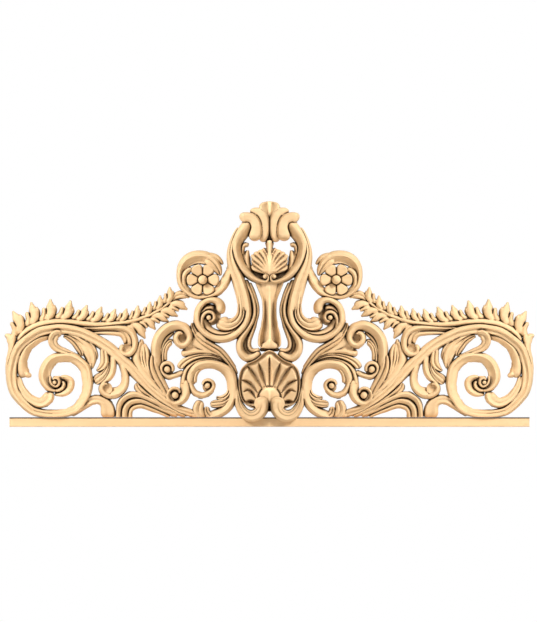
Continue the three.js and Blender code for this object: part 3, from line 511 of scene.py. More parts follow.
ROSETTE = (66.8, 147)
PETALS = 6
PETAL_SPOKES = 40
PETAL_ORBIT = 11.7            # squares from the rosette's middle to a petal's
PETAL_AHEAD = 5               # squares from there to its outer end
PETAL_BEHIND = 7.4            # and to its inner end
PETAL_HALF_WIDTH = 6.1
PETAL_POWER = 2.4             # of the superellipse, 2 for an ellipse
PETAL_WEDGE = 28.6            # degrees from a petal's middle line to its neighbour
PETAL_HEIGHT = 19.5           # mm at its middle
PETAL_CLIMB = 0.35            # mm up for each square outwards
PETAL_CUP = 1.5               # mm that the rim stands above the middle before it turns down
PETAL_RIM_DROP = 6.5          # mm by which the rim turns down at its sides
PETAL_RIM_TILT = 2            # mm more of that at the outer end and less at the inner one
PETAL_RIM_POWER = 9           # how suddenly it turns


def place(u, v, height, half):
    """Pattern squares and a height in mm above the back to metres: x = half * u, z climbs with v
    from the rail's top, and y runs forward from the flat back."""
    x = half * u * SQUARE
    y = BACK - height * MM
    z = RAIL_TOP + (v - PATTERN_RAIL_TOP) * SQUARE
    return np.stack(np.broadcast_arrays(x, y, z), axis=-1)


def new_piece(name, points, faces, half=1):
    """One closed mesh object; a mirrored half has its faces turned over."""
    mesh = bpy.data.meshes.new(name)
    turned = [face[::-1] for face in faces] if half < 0 else faces
    mesh.from_pydata(points.reshape(-1, 3).tolist(), [], turned)
    mesh.update()
    return bpy.data.objects.new(name, mesh)


def section_stations(section, count):
    """Places across a section, evenly spaced along its outline so that steep flanks get as many
    as flat crests, with every crease between two rolls kept."""
    s = np.linspace(-1, 1, SECTION_SAMPLES)
    f = section(s)
    length = np.concatenate([[0], np.cumsum(np.hypot(np.diff(s), SECTION_RISE * np.diff(f)))])
    picks = np.interp(np.linspace(0, length[-1], count), length, s)
    middle = f[1:-1]
    creases = s[1:-1][(middle < f[:-2]) & (middle <= f[2:])]
    near = np.abs(picks[:, None] - creases[None, :]).min(axis=1) if len(creases) else 1
    keep = (near > CREASE_ROOM) | (np.abs(picks) > 0.999)
    return np.sort(np.concatenate([picks[keep], creases]))


def along_stations(total, width_start, width_end, step, longest_end):
    """Stations along a strand and their size share: at each end a quarter ellipse as long as half
    the width closes the strand, share = sin(angle), and between them the stations are even."""
    reach = min(END_OF_TOTAL * total, longest_end)
    start = min(max(width_start, END_LEAST_WIDTH) / 2, reach)
    end = min(max(width_end, END_LEAST_WIDTH) / 2, reach)
    angles = np.linspace(math.asin(END_SHARE), math.pi / 2, END_STATIONS)
    head = start * (1 - np.cos(angles))
    tail = total - end * (1 - np.cos(angles[::-1]))
    count = max(2, int(round((total - start - end) / step)))
    middle = np.linspace(start, total - end, count + 1)[1:-1]
    share = np.concatenate([np.sin(angles), np.ones(len(middle)), np.sin(angles[::-1])])
    return np.concatenate([head, middle, tail]), share


def strand(row, half, step=STEP, across_count=ACROSS, longest_end=END_LENGTH):
    """A section carried along a spine. Each station stands across the path: its places reach
    s * width / 2 to the left of travel, held inside the bend's own radius, and its heights are
    edge + (crest - edge) * section(s) * share. Where a row has several sections they blend from
    root to tip. Vertical walls and a flat back close it."""
    section, side, tops, spine = row
    path = flow(spine)
    steps = np.hypot(*np.diff(path[:, :2], axis=0).T)
    length = np.concatenate([[0], np.cumsum(steps)])
    at, share = along_stations(length[-1], spine[0][2], spine[-1][2], step, longest_end)
    u, v, width = [np.interp(at, length, path[:, k]) for k in range(3)]
    width = (np.maximum(width, LEAST_WIDTH) + SPREAD) * share
    fine = np.gradient(path[:, :2], length + np.arange(len(length)) * 1e-9, axis=0)
    fine /= np.linalg.norm(fine, axis=1, keepdims=True)
    du, dv = [np.interp(at, length, fine[:, k]) for k in range(2)]
    norm = np.hypot(du, dv)
    du, dv = du / norm, dv / norm
    turn = np.gradient(np.unwrap(np.arctan2(dv, du)), at)
    changes = section if isinstance(section, tuple) else (section, section)
    s = section_stations(changes[len(changes) // 2], across_count)
    profiles = np.stack([part(s) for part in changes])
    if side < 0:
        s, profiles = -s[::-1], profiles[:, ::-1]
    way = at / length[-1] * (len(changes) - 1)
    low = np.minimum(way.astype(int), len(changes) - 2)
    blend = (way - low)[:, None]
    profile = profiles[low] * (1 - blend) + profiles[low + 1] * blend
    room = INNER_CLAMP / np.maximum(np.abs(turn), 1e-6)
    reach = s[None, :] * width[:, None] / 2
    inward = s[None, :] * -turn[:, None] > 0
    reach = np.where(inward, np.clip(reach, -room[:, None], room[:, None]), reach)
    crest = np.interp(at / length[-1], np.linspace(0, 1, len(tops)), tops)
    height = EDGE + (crest - EDGE)[:, None] * profile * share[:, None]
    foot = np.zeros((len(at), 1))
    reach = np.hstack([reach[:, :1], reach, reach[:, -1:]])
    height = np.hstack([foot, height, foot])
    points = place(u[:, None] + dv[:, None] * reach, v[:, None] - du[:, None] * reach,
                   height, half)
    return new_piece("strand", points, tube_faces(len(at), reach.shape[1]), half)


def tube_faces(stations, ring):
    """Quads between neighbouring stations and one flat face at each end."""
    index = np.arange(stations * ring).reshape(stations, ring)
    after = np.roll(index, -1, axis=1)
    quads = np.stack([index[:-1], after[:-1], after[1:], index[1:]], axis=-1).reshape(-1, 4)
    return quads.tolist() + [index[0][::-1].tolist(), index[-1].tolist()]


def fan(hinge, edge, shares, heights, half):
    """A polar grid: rings at the given shares of the way from the hinge to the edge, with heights
    ring by ring and spoke by spoke, closed by a wall at the edge and a flat back."""
    edge = np.asarray(edge, float)
    hinge = np.asarray(hinge, float)
    spokes = len(edge)
    rings = hinge + (edge[None] - hinge) * np.asarray(shares)[:, None, None]
    top = place(rings[..., 0], rings[..., 1], heights, half)
    middle = place(hinge[0], hinge[1], heights[0].mean(), half)
    wall = place(edge[:, 0], edge[:, 1], 0.0, half)
    points = np.vstack([middle[None], top.reshape(-1, 3), wall])
    index = 1 + np.arange((len(shares) + 1) * spokes).reshape(-1, spokes)
    after = np.roll(index, -1, axis=1)
    quads = np.stack([index[:-1], index[1:], after[1:], after[:-1]], axis=-1).reshape(-1, 4)
    centre = [[0, a, b] for a, b in zip(index[0].tolist(), after[0].tolist())]
    return new_piece("fan", points, centre + quads.tolist() + [index[-1][::-1].tolist()], half)


def circle(u, v, radius, spokes):
    """Points round a circle, anticlockwise."""
    angle = np.arange(spokes) * 2 * math.pi / spokes
    return np.stack([u + radius * np.cos(angle), v + radius * np.sin(angle)], axis=-1)


def button(u, v, radius, rim, top, half):
    """A domed disc: height = rim + (top - rim) * sqrt(1 - share^2)."""
    shares = np.sin(np.linspace(0.15, 1, 6) * math.pi / 2)
    heights = rim + (top - rim) * np.sqrt(1 - shares ** 2)
    heights = np.repeat(heights[:, None], EYE_SPOKES, axis=1)
    return fan((u, v), circle(u, v, radius, EYE_SPOKES), shares, heights, half)


def petal(angle, half):
    """A fan-shaped petal. Its edge lies at the nearest of a superellipse and the two lines that
    part it from its neighbours. It is cupped: the height climbs outwards and with the square of
    the share, and falls with a high power of the share, steeply at the rim."""
    hinge = np.array(ROSETTE) + PETAL_ORBIT * np.array([math.cos(angle), math.sin(angle)])
    turn = np.arange(PETAL_SPOKES) * 2 * math.pi / PETAL_SPOKES
    ahead, aside = np.cos(turn), np.abs(np.sin(turn))
    length = np.where(ahead > 0, PETAL_AHEAD, PETAL_BEHIND)
    round_edge = ((np.abs(ahead) / length) ** PETAL_POWER
                  + (aside / PETAL_HALF_WIDTH) ** PETAL_POWER) ** (-1 / PETAL_POWER)
    slope = math.tan(math.radians(PETAL_WEDGE))
    parting = PETAL_ORBIT * slope / np.maximum(aside - slope * ahead, 1e-6)
    reach = np.minimum(round_edge, parting)
    edge = hinge + np.stack([reach * np.cos(turn + angle), reach * np.sin(turn + angle)], axis=-1)
    shares = np.sin(np.linspace(0.1, 1, 8) * math.pi / 2)[:, None]
    rim_drop = PETAL_RIM_DROP + PETAL_RIM_TILT * ahead
    heights = (PETAL_HEIGHT + PETAL_CLIMB * shares * reach * ahead + PETAL_CUP * shares ** 2
               - rim_drop * shares ** PETAL_RIM_POWER)
    return fan(hinge, edge, shares[:, 0], heights, half)


def bud(row, outward, half):
    """A bud leaf from BUD_PARTS, whose shares are laid out along the way from its root to its tip.
    outward is 1 or -1 and says which side of that way the lobe stands on."""
    root, tip = np.array(row[:2], float), np.array(row[2:], float)
    chord = tip - root
    length = np.hypot(*chord)
    along = chord / length
    side = outward * np.array([along[1], -along[0]])
    strands = []
    for section, rises, shares in BUD_PARTS:
        spine = []
        for forward, sideways, width in shares:
            u, v = root + along * forward * length + side * sideways * length
            spine.append((u, v, max(width * length - BUD_TRIM, LEAST_WIDTH)))
        turned = outward if section is BLADE else 1
        tops = [BUD_TOP + rise for rise in rises]
        strands.append(strand((section, turned, tops, spine), half, BUD_STEP, BUD_ACROSS))
    return strands


def half_edge(rows, steps):
    """Evenly spaced points along a smooth curve through half an outline, from top to foot."""
    path = flow(rows)
    length = np.concatenate([[0], np.cumsum(np.hypot(*np.diff(path, axis=0).T))])
    at = np.linspace(0, length[-1], steps + 1)
    return np.stack([np.interp(at, length, path[:, k]) for k in range(2)], axis=-1)


def mirrored_edge(rows, steps):
    """The whole outline of a shell from its drawn half, anticlockwise seen from the front."""
    right = half_edge(rows, steps)
    left = right[1:-1][::-1] * (-1, 1)
    return np.vstack([right, left])[::-1]


def smooth(low, high, x):
    """A step from 0 at low to 1 at high without corners: t^2 * (3 - 2 * t)."""
    t = np.clip((x - low) / (high - low), 0, 1)
    return t * t * (3 - 2 * t)


def sunk(u, v, grooves, power):
    """How far tapering grooves sink each place, in mm: for the nearest point of each groove's line
    the groove's depth there times (1 - distance / half width) ^ power, and the deepest of them.
    Grooves are rows of [u, v, half width, depth]."""
    deepest = np.zeros_like(u)
    for rows in grooves:
        line = flow(rows, 12)
        away = np.hypot(np.abs(u)[..., None] - line[:, 0], v[..., None] - line[:, 1])
        share = np.clip(1 - away / np.maximum(line[:, 2], 0.05), 0, 1) ** power * line[:, 3]
        deepest = np.maximum(deepest, share.max(axis=-1))
    return deepest


SHELL_HINGE = (0, 30)
SHELL_EDGE = [(0, 77.1), (3.9, 75.6), (7, 73.1), (10.1, 70.6), (13.3, 68.1), (17, 65.9),
              (21.4, 64.3), (25.1, 61.8), (28.3, 58.1), (30.1, 53.1), (31.1, 47.4), (31.1, 41.2),
              (30.4, 34.9), (29.5, 30.6), (27.6, 26.2), (25.1, 23.1), (21.4, 20.6), (17, 18.6),
              (10, 16.4), (0, 15)]
SHELL_GROOVES = [
    [(0, 69.6, 0.5, 4), (0, 64, 2.5, 9), (0, 55, 3.3, 10), (0, 46, 2.4, 8), (0, 40.6, 0.4, 3)],
    [(10.8, 63.9, 0.5, 4), (9, 58.3, 2.4, 9), (7, 53, 3.1, 10), (5.3, 46.6, 2.3, 8),
     (3.9, 41.2, 0.4, 3)],
    [(22.6, 60.8, 0.5, 4), (18.2, 56.4, 2.4, 9), (14.5, 51.2, 3.1, 10), (10.6, 44.6, 2.3, 8),
     (7.6, 38.7, 0.4, 3)],
    [(27.9, 46.7, 0.5, 4), (23.8, 45.4, 2, 8), (19.5, 43, 2.6, 9), (15.4, 38.8, 2, 8),
     (12, 34, 0.4, 3)],
    [(26, 34.9, 0.5, 4), (21.4, 36.8, 1.8, 7), (17.6, 34.3, 2.2, 9), (13.9, 28.7, 0.6, 4)],
    [(22.6, 24.8, 1.4, 6), (18.9, 24.6, 2.9, 12), (15.2, 24.2, 1.6, 8)],
]
SHELL_STEPS = 110             # steps along half its edge
SHELL_SHARES = np.concatenate([np.linspace(0.03, 0.93, 44), np.linspace(0.94, 1, 8)])
SHELL_HEIGHT = 20             # mm at the hinge
SHELL_RISE = 5.5              # mm by which the ribs rise towards the rim
SHELL_TUCK = 5                # mm by which the dish tucks down under the rim
SHELL_TUCK_FROM = 0.84        # share of the way out at which the tuck starts
SHELL_TUCK_TO = 0.96
SHELL_GROOVE_POWER = 0.75
SHELL_BEAD_HALF = 0.75        # squares, half the width of the bead on the rim
SHELL_BEAD_TOP = 27.5         # mm
SHELL_EDGE_HEIGHT = 15        # mm of the wall at the rim and of the dome's foot
SHELL_DOME_MIDDLE = 29.3      # v of the dome's middle
SHELL_DOME_RADIUS = 10.9      # squares
SHELL_DOME_RISE = 8.5         # mm
SHELL_TRENCH = 5              # mm, round the foot of the dome
SHELL_TRENCH_AT = 1.06        # of the dome's radius
SHELL_TRENCH_HALF = 0.06      # half its width, of the dome's radius


def shell_grid(hinge, edge, shares):
    """The rings' shares as a column, and the places on the spokes from the hinge to the edge."""
    r = shares[:, None]
    spread = edge - np.array(hinge)
    return r, hinge[0] + spread[None, :, 0] * r, hinge[1] + spread[None, :, 1] * r


def lower_shell():
    """A dish in a raised rim with lens-shaped grooves, round a half dome at its foot. The dish
    tucks down under the rim, the ribs between grooves rise towards it with the square of the
    share, the rim is a half-round bead and the dome is a ball's cap."""
    edge = mirrored_edge(SHELL_EDGE, SHELL_STEPS)
    r, u, v = shell_grid(SHELL_HINGE, edge, SHELL_SHARES)
    body = (SHELL_HEIGHT + SHELL_RISE * r ** 2
            - SHELL_TUCK * smooth(SHELL_TUCK_FROM, SHELL_TUCK_TO, r)
            - sunk(u, v, SHELL_GROOVES, SHELL_GROOVE_POWER))
    spread = edge - np.array(SHELL_HINGE)
    rim_half = SHELL_BEAD_HALF / np.hypot(spread[:, 0], spread[:, 1])[None]
    from_rim = np.abs(r - (1 - rim_half)) / rim_half
    bead = SHELL_BEAD_TOP * np.clip(1 - from_rim ** 2, 0, 1) ** 0.2
    body = np.maximum(body, bead)
    away = np.hypot(u, v - SHELL_DOME_MIDDLE) / SHELL_DOME_RADIUS
    dome = SHELL_EDGE_HEIGHT + SHELL_DOME_RISE * np.sqrt(np.clip(1 - away ** 2, 0, 1))
    from_trench = np.abs(away - SHELL_TRENCH_AT) / SHELL_TRENCH_HALF
    trench = SHELL_TRENCH * np.clip(1 - from_trench, 0, 1)
    body = np.where(away < 1, dome, body - trench)
    body[-1] = SHELL_EDGE_HEIGHT
    return fan(SHELL_HINGE, edge, SHELL_SHARES, body, 1)


SCALLOP_HINGE = (0, 156)
SCALLOP_EDGE = [(0, 180), (2.4, 179.2), (3.6, 178.6), (5.9, 179.1), (7, 177.9), (9.4, 177.2),
                (10.8, 176.8), (12, 175.5), (14, 175.2), (15.4, 174.4), (16.2, 172.6),
                (17.8, 172.2), (18.7, 171.2), (17.9, 167.5), (18.5, 165.8), (17.9, 162.4),
                (18.7, 160.4), (18.3, 157.4), (12, 154.3), (5.8, 152.4), (3, 150.4), (0, 149)]
SCALLOP_GROOVES = [
    [(3.7, 179.6, 2.4, 13), (2.9, 176.5, 1.7, 11), (2, 173.4, 0.9, 5), (1.6, 168, 0.3, 0)],
    [(7.1, 178.3, 1.7, 6), (5.2, 175.3, 1.6, 6), (3.6, 172, 1.3, 5), (1.9, 166, 0.7, 1.5)],
    [(12.2, 176, 1.8, 6), (9.3, 172.6, 1.7, 6), (6.2, 168.6, 1.4, 5), (2.9, 162, 0.7, 1.5)],
    [(16.5, 173.2, 1.9, 6), (13, 170, 1.8, 6), (9.2, 166.6, 1.5, 5), (4, 160, 0.7, 1.5)],
    [(18.6, 167.9, 1.8, 6), (14.6, 164.8, 1.7, 6), (10.2, 161.6, 1.5, 5), (4.6, 157, 0.7, 1.5)],
    [(18.6, 162.9, 1.8, 6), (14.6, 160, 1.7, 6), (10.2, 157.1, 1.3, 5), (5.6, 154, 0.6, 2)],
]


SCALLOP_STEPS = 75
SCALLOP_SHARES = np.concatenate([np.linspace(0.04, 0.9, 32), np.linspace(0.92, 1, 6)])
SCALLOP_TOP = 33              # mm at the hinge
SCALLOP_FALL = 9              # mm from there to the rim
SCALLOP_FALL_POWER = 1.6
SCALLOP_RIM = 7               # mm by which the rim is rounded down
SCALLOP_RIM_FROM = 0.9        # share of the way out at which that starts


def upper_shell():
    """A domed scallop: the height falls with a power of the share, the grooves between its ribs
    sink deepest at the rim, and the rim is rounded down."""
    edge = mirrored_edge(SCALLOP_EDGE, SCALLOP_STEPS)
    r, u, v = shell_grid(SCALLOP_HINGE, edge, SCALLOP_SHARES)
    body = SCALLOP_TOP - SCALLOP_FALL * r ** SCALLOP_FALL_POWER - sunk(u, v, SCALLOP_GROOVES, 1.0)
    body = body - SCALLOP_RIM * smooth(SCALLOP_RIM_FROM, 1.0, r) ** 1.5
    return fan(SCALLOP_HINGE, edge, SCALLOP_SHARES, body, 1)


# The column's sections at its foot, its waist and its head: a flat panel between two flutes
COLUMN_FOOT = mirrored((-1, 0), (-0.98, 0.7), (-0.88, 0.86), (-0.7, 0.5), (-0.45, 0.3),
                       (-0.26, 0.45), (-0.12, 0.96), (0, 1))
COLUMN_WAIST = mirrored((-1, 0), (-0.98, 0.6), (-0.88, 0.78), (-0.7, 0.62), (-0.5, 0.48),
                        (-0.34, 0.56), (-0.2, 0.94), (0, 1))
COLUMN_HEAD = mirrored((-1, 0), (-0.98, 0.55), (-0.88, 0.72), (-0.76, 0.56), (-0.62, 0.52),
                       (-0.5, 0.92), (-0.42, 1), (0, 1))
COLUMN = [
    ((COLUMN_FOOT, COLUMN_FOOT, COLUMN_WAIST, COLUMN_HEAD), 1, (25, 26, 26, 25, 25, 26, 26), [
        (0, 77.4, 9), (0, 78.7, 15.2), (0, 80.6, 20.2), (0, 83.1, 21.8), (0, 88.1, 21.6),
        (0, 94.3, 19.6), (0, 100.6, 15.8), (0, 103.7, 15.2), (0, 108, 13.6), (0, 113, 12.8),
        (0, 120.6, 12.8), (0, 126.8, 14), (0, 132.4, 17.8), (0, 138, 22.4), (0, 143.7, 26.8),
        (0, 147, 28)]),
    # Low ground between the column and the shell below it
    (ROLL, 1, (9, 9), [(-9.5, 77.4, 2.6), (0, 77.4, 2.6), (9.5, 77.4, 2.6)]),
    # The pointed foot that laps the column
    (BLADE, 1, (27, 29, 29, 26), [
        (0, 88, 0.6), (0, 84.6, 8.2), (0, 81.8, 15.4), (0, 79.4, 16), (0, 77.4, 11)]),
]
NECK = [
    (ROLL, 1, (32, 31, 30, 30, 30), [
        (0, 162, 1.6), (0, 170, 2.8), (0, 176, 2.8), (0, 182, 3), (0, 187, 5)]),
    (ROLL, 1, (12, 13, 17), [(0, 174, 2.6), (0, 177, 4.4), (0, 181, 6), (0, 185, 8.6)]),
    (ROLL, 1, (12, 12), [(0, 184, 8), (0, 190, 7), (0, 196, 3)]),
]
BELL_SECTION = mirrored((-1, 0), (-0.97, 0.55), (-0.88, 0.9), (-0.7, 0.98), (-0.4, 0.84),
                        (-0.15, 0.74), (0, 0.77))
BELL = [
    (BELL_SECTION, 1, (20, 24, 28, 31, 31, 29), [
        (0, 202, 0.4), (0, 204.9, 0.9), (0, 208.7, 3), (0, 211.4, 5), (0, 213.6, 8),
        (0, 216.2, 14.4), (0, 218.4, 20), (0, 220.6, 19.4), (0, 223, 17), (0, 224.3, 13.4),
        (0, 225.6, 8.2)]),
]

HALF_GROUPS = (GREAT_SPIRAL, SPIRAL_LEAVES, TUFTS, HOOK, RAIL_LEAVES, FRIEZE_STEM, CLIMBING_LEAF,
               SMALL_VOLUTES, CROZIER, SHEAF, CARTOUCHE_RING, CARTOUCHE_SCROLL, CENTRE_FRAME,
               FINIAL, ROSETTE_CURL)
MIDDLE_GROUPS = (COLUMN, NECK, BELL)
BLUNT_END = 1.5               # squares over which the middle pieces are rounded off
MIDDLE_ACROSS = 21            # places across them
GROUND_ACROSS = 5             # places across a low strip


def half_carving(half):
    """Everything that is drawn once and mirrored."""
    pieces = [strand(row, half) for group in HALF_GROUPS for row in group]
    pieces += [part for row in UPPER_BUDS for part in bud(row, 1, half)]
    pieces += [part for row in LOWER_BUDS for part in bud(row, -1, half)]
    pieces += [button(*row, half) for row in EYES + GROUNDS]
    pieces += [petal(k * 2 * math.pi / PETALS, half) for k in range(PETALS)]
    return pieces


def middle_carving():
    """Everything that stands on the centreline."""
    pieces = [strand(row, 1, across_count=MIDDLE_ACROSS, longest_end=BLUNT_END)
              for group in MIDDLE_GROUPS for row in group]
    return pieces + [lower_shell(), upper_shell()]


def block(low, high):
    """A box between two corners, to cut with."""
    xs, ys, zs = zip(low, high)
    points = np.array([[x, y, z] for z in zs for y in ys for x in xs])
    faces = [[0, 2, 3, 1], [4, 5, 7, 6], [0, 1, 5, 4], [2, 6, 7, 3], [0, 4, 6, 2], [1, 3, 7, 5]]
    return new_piece("block", points, faces)


def rail_room():
    """Room for the rail: behind the lapping scrolls near the middle, right through further out."""
    lap = LAP_REACH * SQUARE
    top = RAIL_TOP + GAP
    return [
        block((-FAR, RAIL_FRONT - GAP, -FAR), (FAR, FAR, top)),
        block((-FAR, -FAR, -FAR), (-lap, FAR, top)),
        block((lap, -FAR, -FAR), (FAR, FAR, top)),
    ]


def keep_result(piece):
    """Makes what a piece's modifiers give its own mesh."""
    evaluated = piece.evaluated_get(bpy.context.evaluated_depsgraph_get())
    result = bpy.data.meshes.new_from_object(evaluated)
    piece.modifiers.clear()
    piece.data = result


def combine(base, others, operation):
    """Joins others to the base mesh, or cuts them from it, as solids, and clears them away."""
    holder = bpy.data.collections.new("carving pieces")
    bpy.context.scene.collection.children.link(holder)
    for piece in others:
        holder.objects.link(piece)
    cut = base.modifiers.new("combine", "BOOLEAN")
    cut.operation = operation
    cut.operand_type = "COLLECTION"
    cut.collection = holder
    cut.solver = "MANIFOLD"
    keep_result(base)
    for piece in others:
        bpy.data.objects.remove(piece)
    bpy.data.collections.remove(holder)


def ground_strand(row, half):
    """A low flat strip under a strand, a little wider than the strand."""
    spine = [(u, v, width + 2 * GROUND_REACH) for u, v, width in row[3]]
    return strand((ROLL, 1, (GROUND_HEIGHT, GROUND_HEIGHT), spine), half,
                  across_count=GROUND_ACROSS)


def frame_ground():
    """A copy of the frame's own crest with its loose triangles joined, cut down to a low slab."""
    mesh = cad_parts["carved_crest"].data.copy()
    shape = bmesh.new()
    shape.from_mesh(mesh)
    bmesh.ops.remove_doubles(shape, verts=shape.verts, dist=1e-6)
    shape.to_mesh(mesh)
    shape.free()
    mesh.materials.clear()
    slab = bpy.data.objects.new("slab", mesh)
    bpy.context.scene.collection.objects.link(slab)
    combine(slab, [block((-FAR, BACK - GROUND_HEIGHT * MM, -FAR), (FAR, FAR, FAR))], "INTERSECT")
    bpy.context.scene.collection.objects.unlink(slab)
    return slab


def low_ground():
    """Low carving that shows dark between touching strands: the strips under the strands, kept
    only where the frame's crest is solid."""
    strips = [ground_strand(row, half) for half in (-1, 1) for group in HALF_GROUPS
              for row in group]
    ground = strips[0]
    bpy.context.scene.collection.objects.link(ground)
    combine(ground, strips[1:], "UNION")
    combine(ground, [frame_ground()], "INTERSECT")
    bpy.context.scene.collection.objects.unlink(ground)
    return ground


def thin_out(piece, most):
    """Collapses the edges that shape the piece least until it has at most so many triangles."""
    count = sum(len(face.vertices) - 2 for face in piece.data.polygons)
    fewer = piece.modifiers.new("thin out", "DECIMATE")
    fewer.ratio = min(1.0, most / count)
    keep_result(piece)


def carve_crest():
    """The whole carving as one solid, with the rail's room cut away and crisp creases kept."""
    pieces = half_carving(-1) + half_carving(1) + middle_carving() + [low_ground()]
    crest = pieces[0]
    crest.name = "carved_crest_surface"
    bpy.context.scene.collection.objects.link(crest)
    combine(crest, pieces[1:], "UNION")
    combine(crest, rail_room(), "DIFFERENCE")
    thin_out(crest, MOST_TRIANGLES)
    crest.data.name = "carved_crest_surface"
    crest.data.shade_smooth()
    crest.data.set_sharp_from_angle(angle=math.radians(CREASE_ANGLE))
    return crest


WOOD_TONES = ((0.79, 0.54, 0.295), (0.85, 0.60, 0.34))
# Painted shade in hollows: [reach in m, share of open air that is darkest, share that is clear,
# dark tone]
CARVING_HOLLOW_SHADE = (
    (0.018, 0.15, 0.7, (0.065, 0.035, 0.018)),
    (0.005, 0.34, 0.8, (0.18, 0.11, 0.06)),
)
RAIL_HOLLOW_SHADE = ((0.005, 0.2, 0.7, (0.2, 0.12, 0.06)),)
HOLLOW_SAMPLES = 8
JOINT_SHADE_WIDTH = 2.7 * MM        # of the painted shade line along the rail's top edge, where the carving meets it
JOINT_SHADE_BLEND = 0.4 * MM
# dark tone of the painted shade line along the rail's top edge
JOINT_SHADE_TONE = (0.05, 0.03, 0.015)
JOINT_SHADE_UPWARD = (0.8, 0.96)    # upward share of the normal over which that line fades out
BOARD_STRETCH = (5, 60, 60)   # the grain runs along the boards
# A mix node's colour sockets
MIX_UNDER = 6
MIX_OVER = 7
MIX_RESULT = 2


def multiplied(nodes, links, colour):
    """A node that multiplies a colour by whatever its other colour socket gets."""
    mix = nodes.new("ShaderNodeMix")
    mix.data_type = "RGBA"
    mix.blend_type = "MULTIPLY"
    mix.inputs["Factor"].default_value = 1
    links.new(colour, mix.inputs[MIX_UNDER])
    return mix


def painted_joint_shade(nodes, links, colour, place_node, level):
    """Paints shade: multiplies a colour by a dark tone above the given height, a line along the top
    edge of the rail where the carving meets it, but not on faces that look up, and gives back the
    new colour socket."""
    split = nodes.new("ShaderNodeSeparateXYZ")
    links.new(place_node.outputs["Object"], split.inputs["Vector"])
    line = nodes.new("ShaderNodeMapRange")
    line.inputs["From Min"].default_value = level
    line.inputs["From Max"].default_value = level + JOINT_SHADE_BLEND
    links.new(split.outputs["Z"], line.inputs["Value"])
    facing = nodes.new("ShaderNodeNewGeometry")
    upward = nodes.new("ShaderNodeSeparateXYZ")
    links.new(facing.outputs["Normal"], upward.inputs["Vector"])
    upright = nodes.new("ShaderNodeMapRange")
    upright.inputs["From Min"].default_value = JOINT_SHADE_UPWARD[0]
    upright.inputs["From Max"].default_value = JOINT_SHADE_UPWARD[1]
    upright.inputs["To Min"].default_value = 1
    upright.inputs["To Max"].default_value = 0
    links.new(upward.outputs["Z"], upright.inputs["Value"])
    share = nodes.new("ShaderNodeMath")
    share.operation = "MULTIPLY"
    links.new(line.outputs["Result"], share.inputs[0])
    links.new(upright.outputs["Result"], share.inputs[1])
    mix = multiplied(nodes, links, colour)
    links.new(share.outputs["Value"], mix.inputs["Factor"])
    mix.inputs[MIX_OVER].default_value = (*JOINT_SHADE_TONE, 1)
    return mix.outputs[MIX_RESULT]


def painted_hollow_shade(nodes, links, colour, reach, low, high, dark):
    """Paints shade into a colour where less of the open air within reach is seen: fully at a share
    of low, not at all from high."""
    occlusion = nodes.new("ShaderNodeAmbientOcclusion")
    occlusion.inputs["Distance"].default_value = reach
    occlusion.samples = HOLLOW_SAMPLES
    occlusion.only_local = True
    shade = nodes.new("ShaderNodeValToRGB")
    shade.color_ramp.elements[0].position = low
    shade.color_ramp.elements[0].color = (*dark, 1)
    shade.color_ramp.elements[1].position = high
    shade.color_ramp.elements[1].color = (1, 1, 1, 1)
    links.new(occlusion.outputs["AO"], shade.inputs["Fac"])
    mix = multiplied(nodes, links, colour)
    links.new(shade.outputs["Color"], mix.inputs[MIX_OVER])
    return mix.outputs[MIX_RESULT]


def pale_wood(name, tone, hollows, joint_shade_height=None):
    """Smooth pale hardwood: a soft drift of tone, faint growth lines along the boards, fine pores
    in the bump, and painted shade that keeps recesses darker where light can't reach. Above
    joint_shade_height, where it is given, faces that don't look up get a dark line of painted
    shade, as where the carving meets the rail."""
    material = bpy.data.materials.new(name)
    material.use_nodes = True
    nodes, links = material.node_tree.nodes, material.node_tree.links
    nodes.clear()
    out = nodes.new("ShaderNodeOutputMaterial")
    shader = nodes.new("ShaderNodeBsdfPrincipled")
    links.new(shader.outputs["BSDF"], out.inputs["Surface"])
    place_node = nodes.new("ShaderNodeTexCoord")
    stretch = nodes.new("ShaderNodeMapping")
    stretch.inputs["Scale"].default_value = BOARD_STRETCH
    links.new(place_node.outputs["Object"], stretch.inputs["Vector"])
    grain = nodes.new("ShaderNodeTexNoise")
    grain.inputs["Scale"].default_value = 1.6
    grain.inputs["Detail"].default_value = 5
    grain.inputs["Distortion"].default_value = 0.4
    links.new(stretch.outputs["Vector"], grain.inputs["Vector"])
    ramp = nodes.new("ShaderNodeValToRGB")
    ramp.color_ramp.elements[0].position = 0.3
    ramp.color_ramp.elements[1].position = 0.72
    ramp.color_ramp.elements[0].color = (*tone[0], 1)
    ramp.color_ramp.elements[1].color = (*tone[1], 1)
    links.new(grain.outputs["Fac"], ramp.inputs["Fac"])
    colour = ramp.outputs["Color"]
    # painted shade: recesses darkened by how little open air they see
    for reach, low, high, dark in hollows:
        colour = painted_hollow_shade(nodes, links, colour, reach, low, high, dark)
    # painted shade: a dark line along the rail's top edge, where the carving meets it
    if joint_shade_height is not None:
        colour = painted_joint_shade(nodes, links, colour, place_node, joint_shade_height)
    links.new(colour, shader.inputs["Base Color"])
    pores = nodes.new("ShaderNodeTexNoise")
    pores.inputs["Scale"].default_value = 9
    pores.inputs["Detail"].default_value = 3
    links.new(stretch.outputs["Vector"], pores.inputs["Vector"])
    bump = nodes.new("ShaderNodeBump")
    bump.inputs["Strength"].default_value = 0.06
    bump.inputs["Distance"].default_value = 0.0006
    links.new(pores.outputs["Fac"], bump.inputs["Height"])
    links.new(bump.outputs["Normal"], shader.inputs["Normal"])
    shader.inputs["Roughness"].default_value = 0.62
    shader.inputs["Specular IOR Level"].default_value = 0.25
    return material


# Lamps: watts, size in m, and places in m for the right half
END_LAMP = 59
END_LAMP_SIZE = 0.5
END_LAMP_SPOT = (1.35, -1.3, 1.65)
END_LAMP_AIM = (0.3, 0, 0.2)
FRONT_LAMP = 4.0
FRONT_LAMP_SIZE = 1.2
FRONT_LAMP_SPOT = (0, -3.2, 1.3)
FRONT_LAMP_AIM = (0, 0, 0.2)
SKY_LIGHT = 0.08
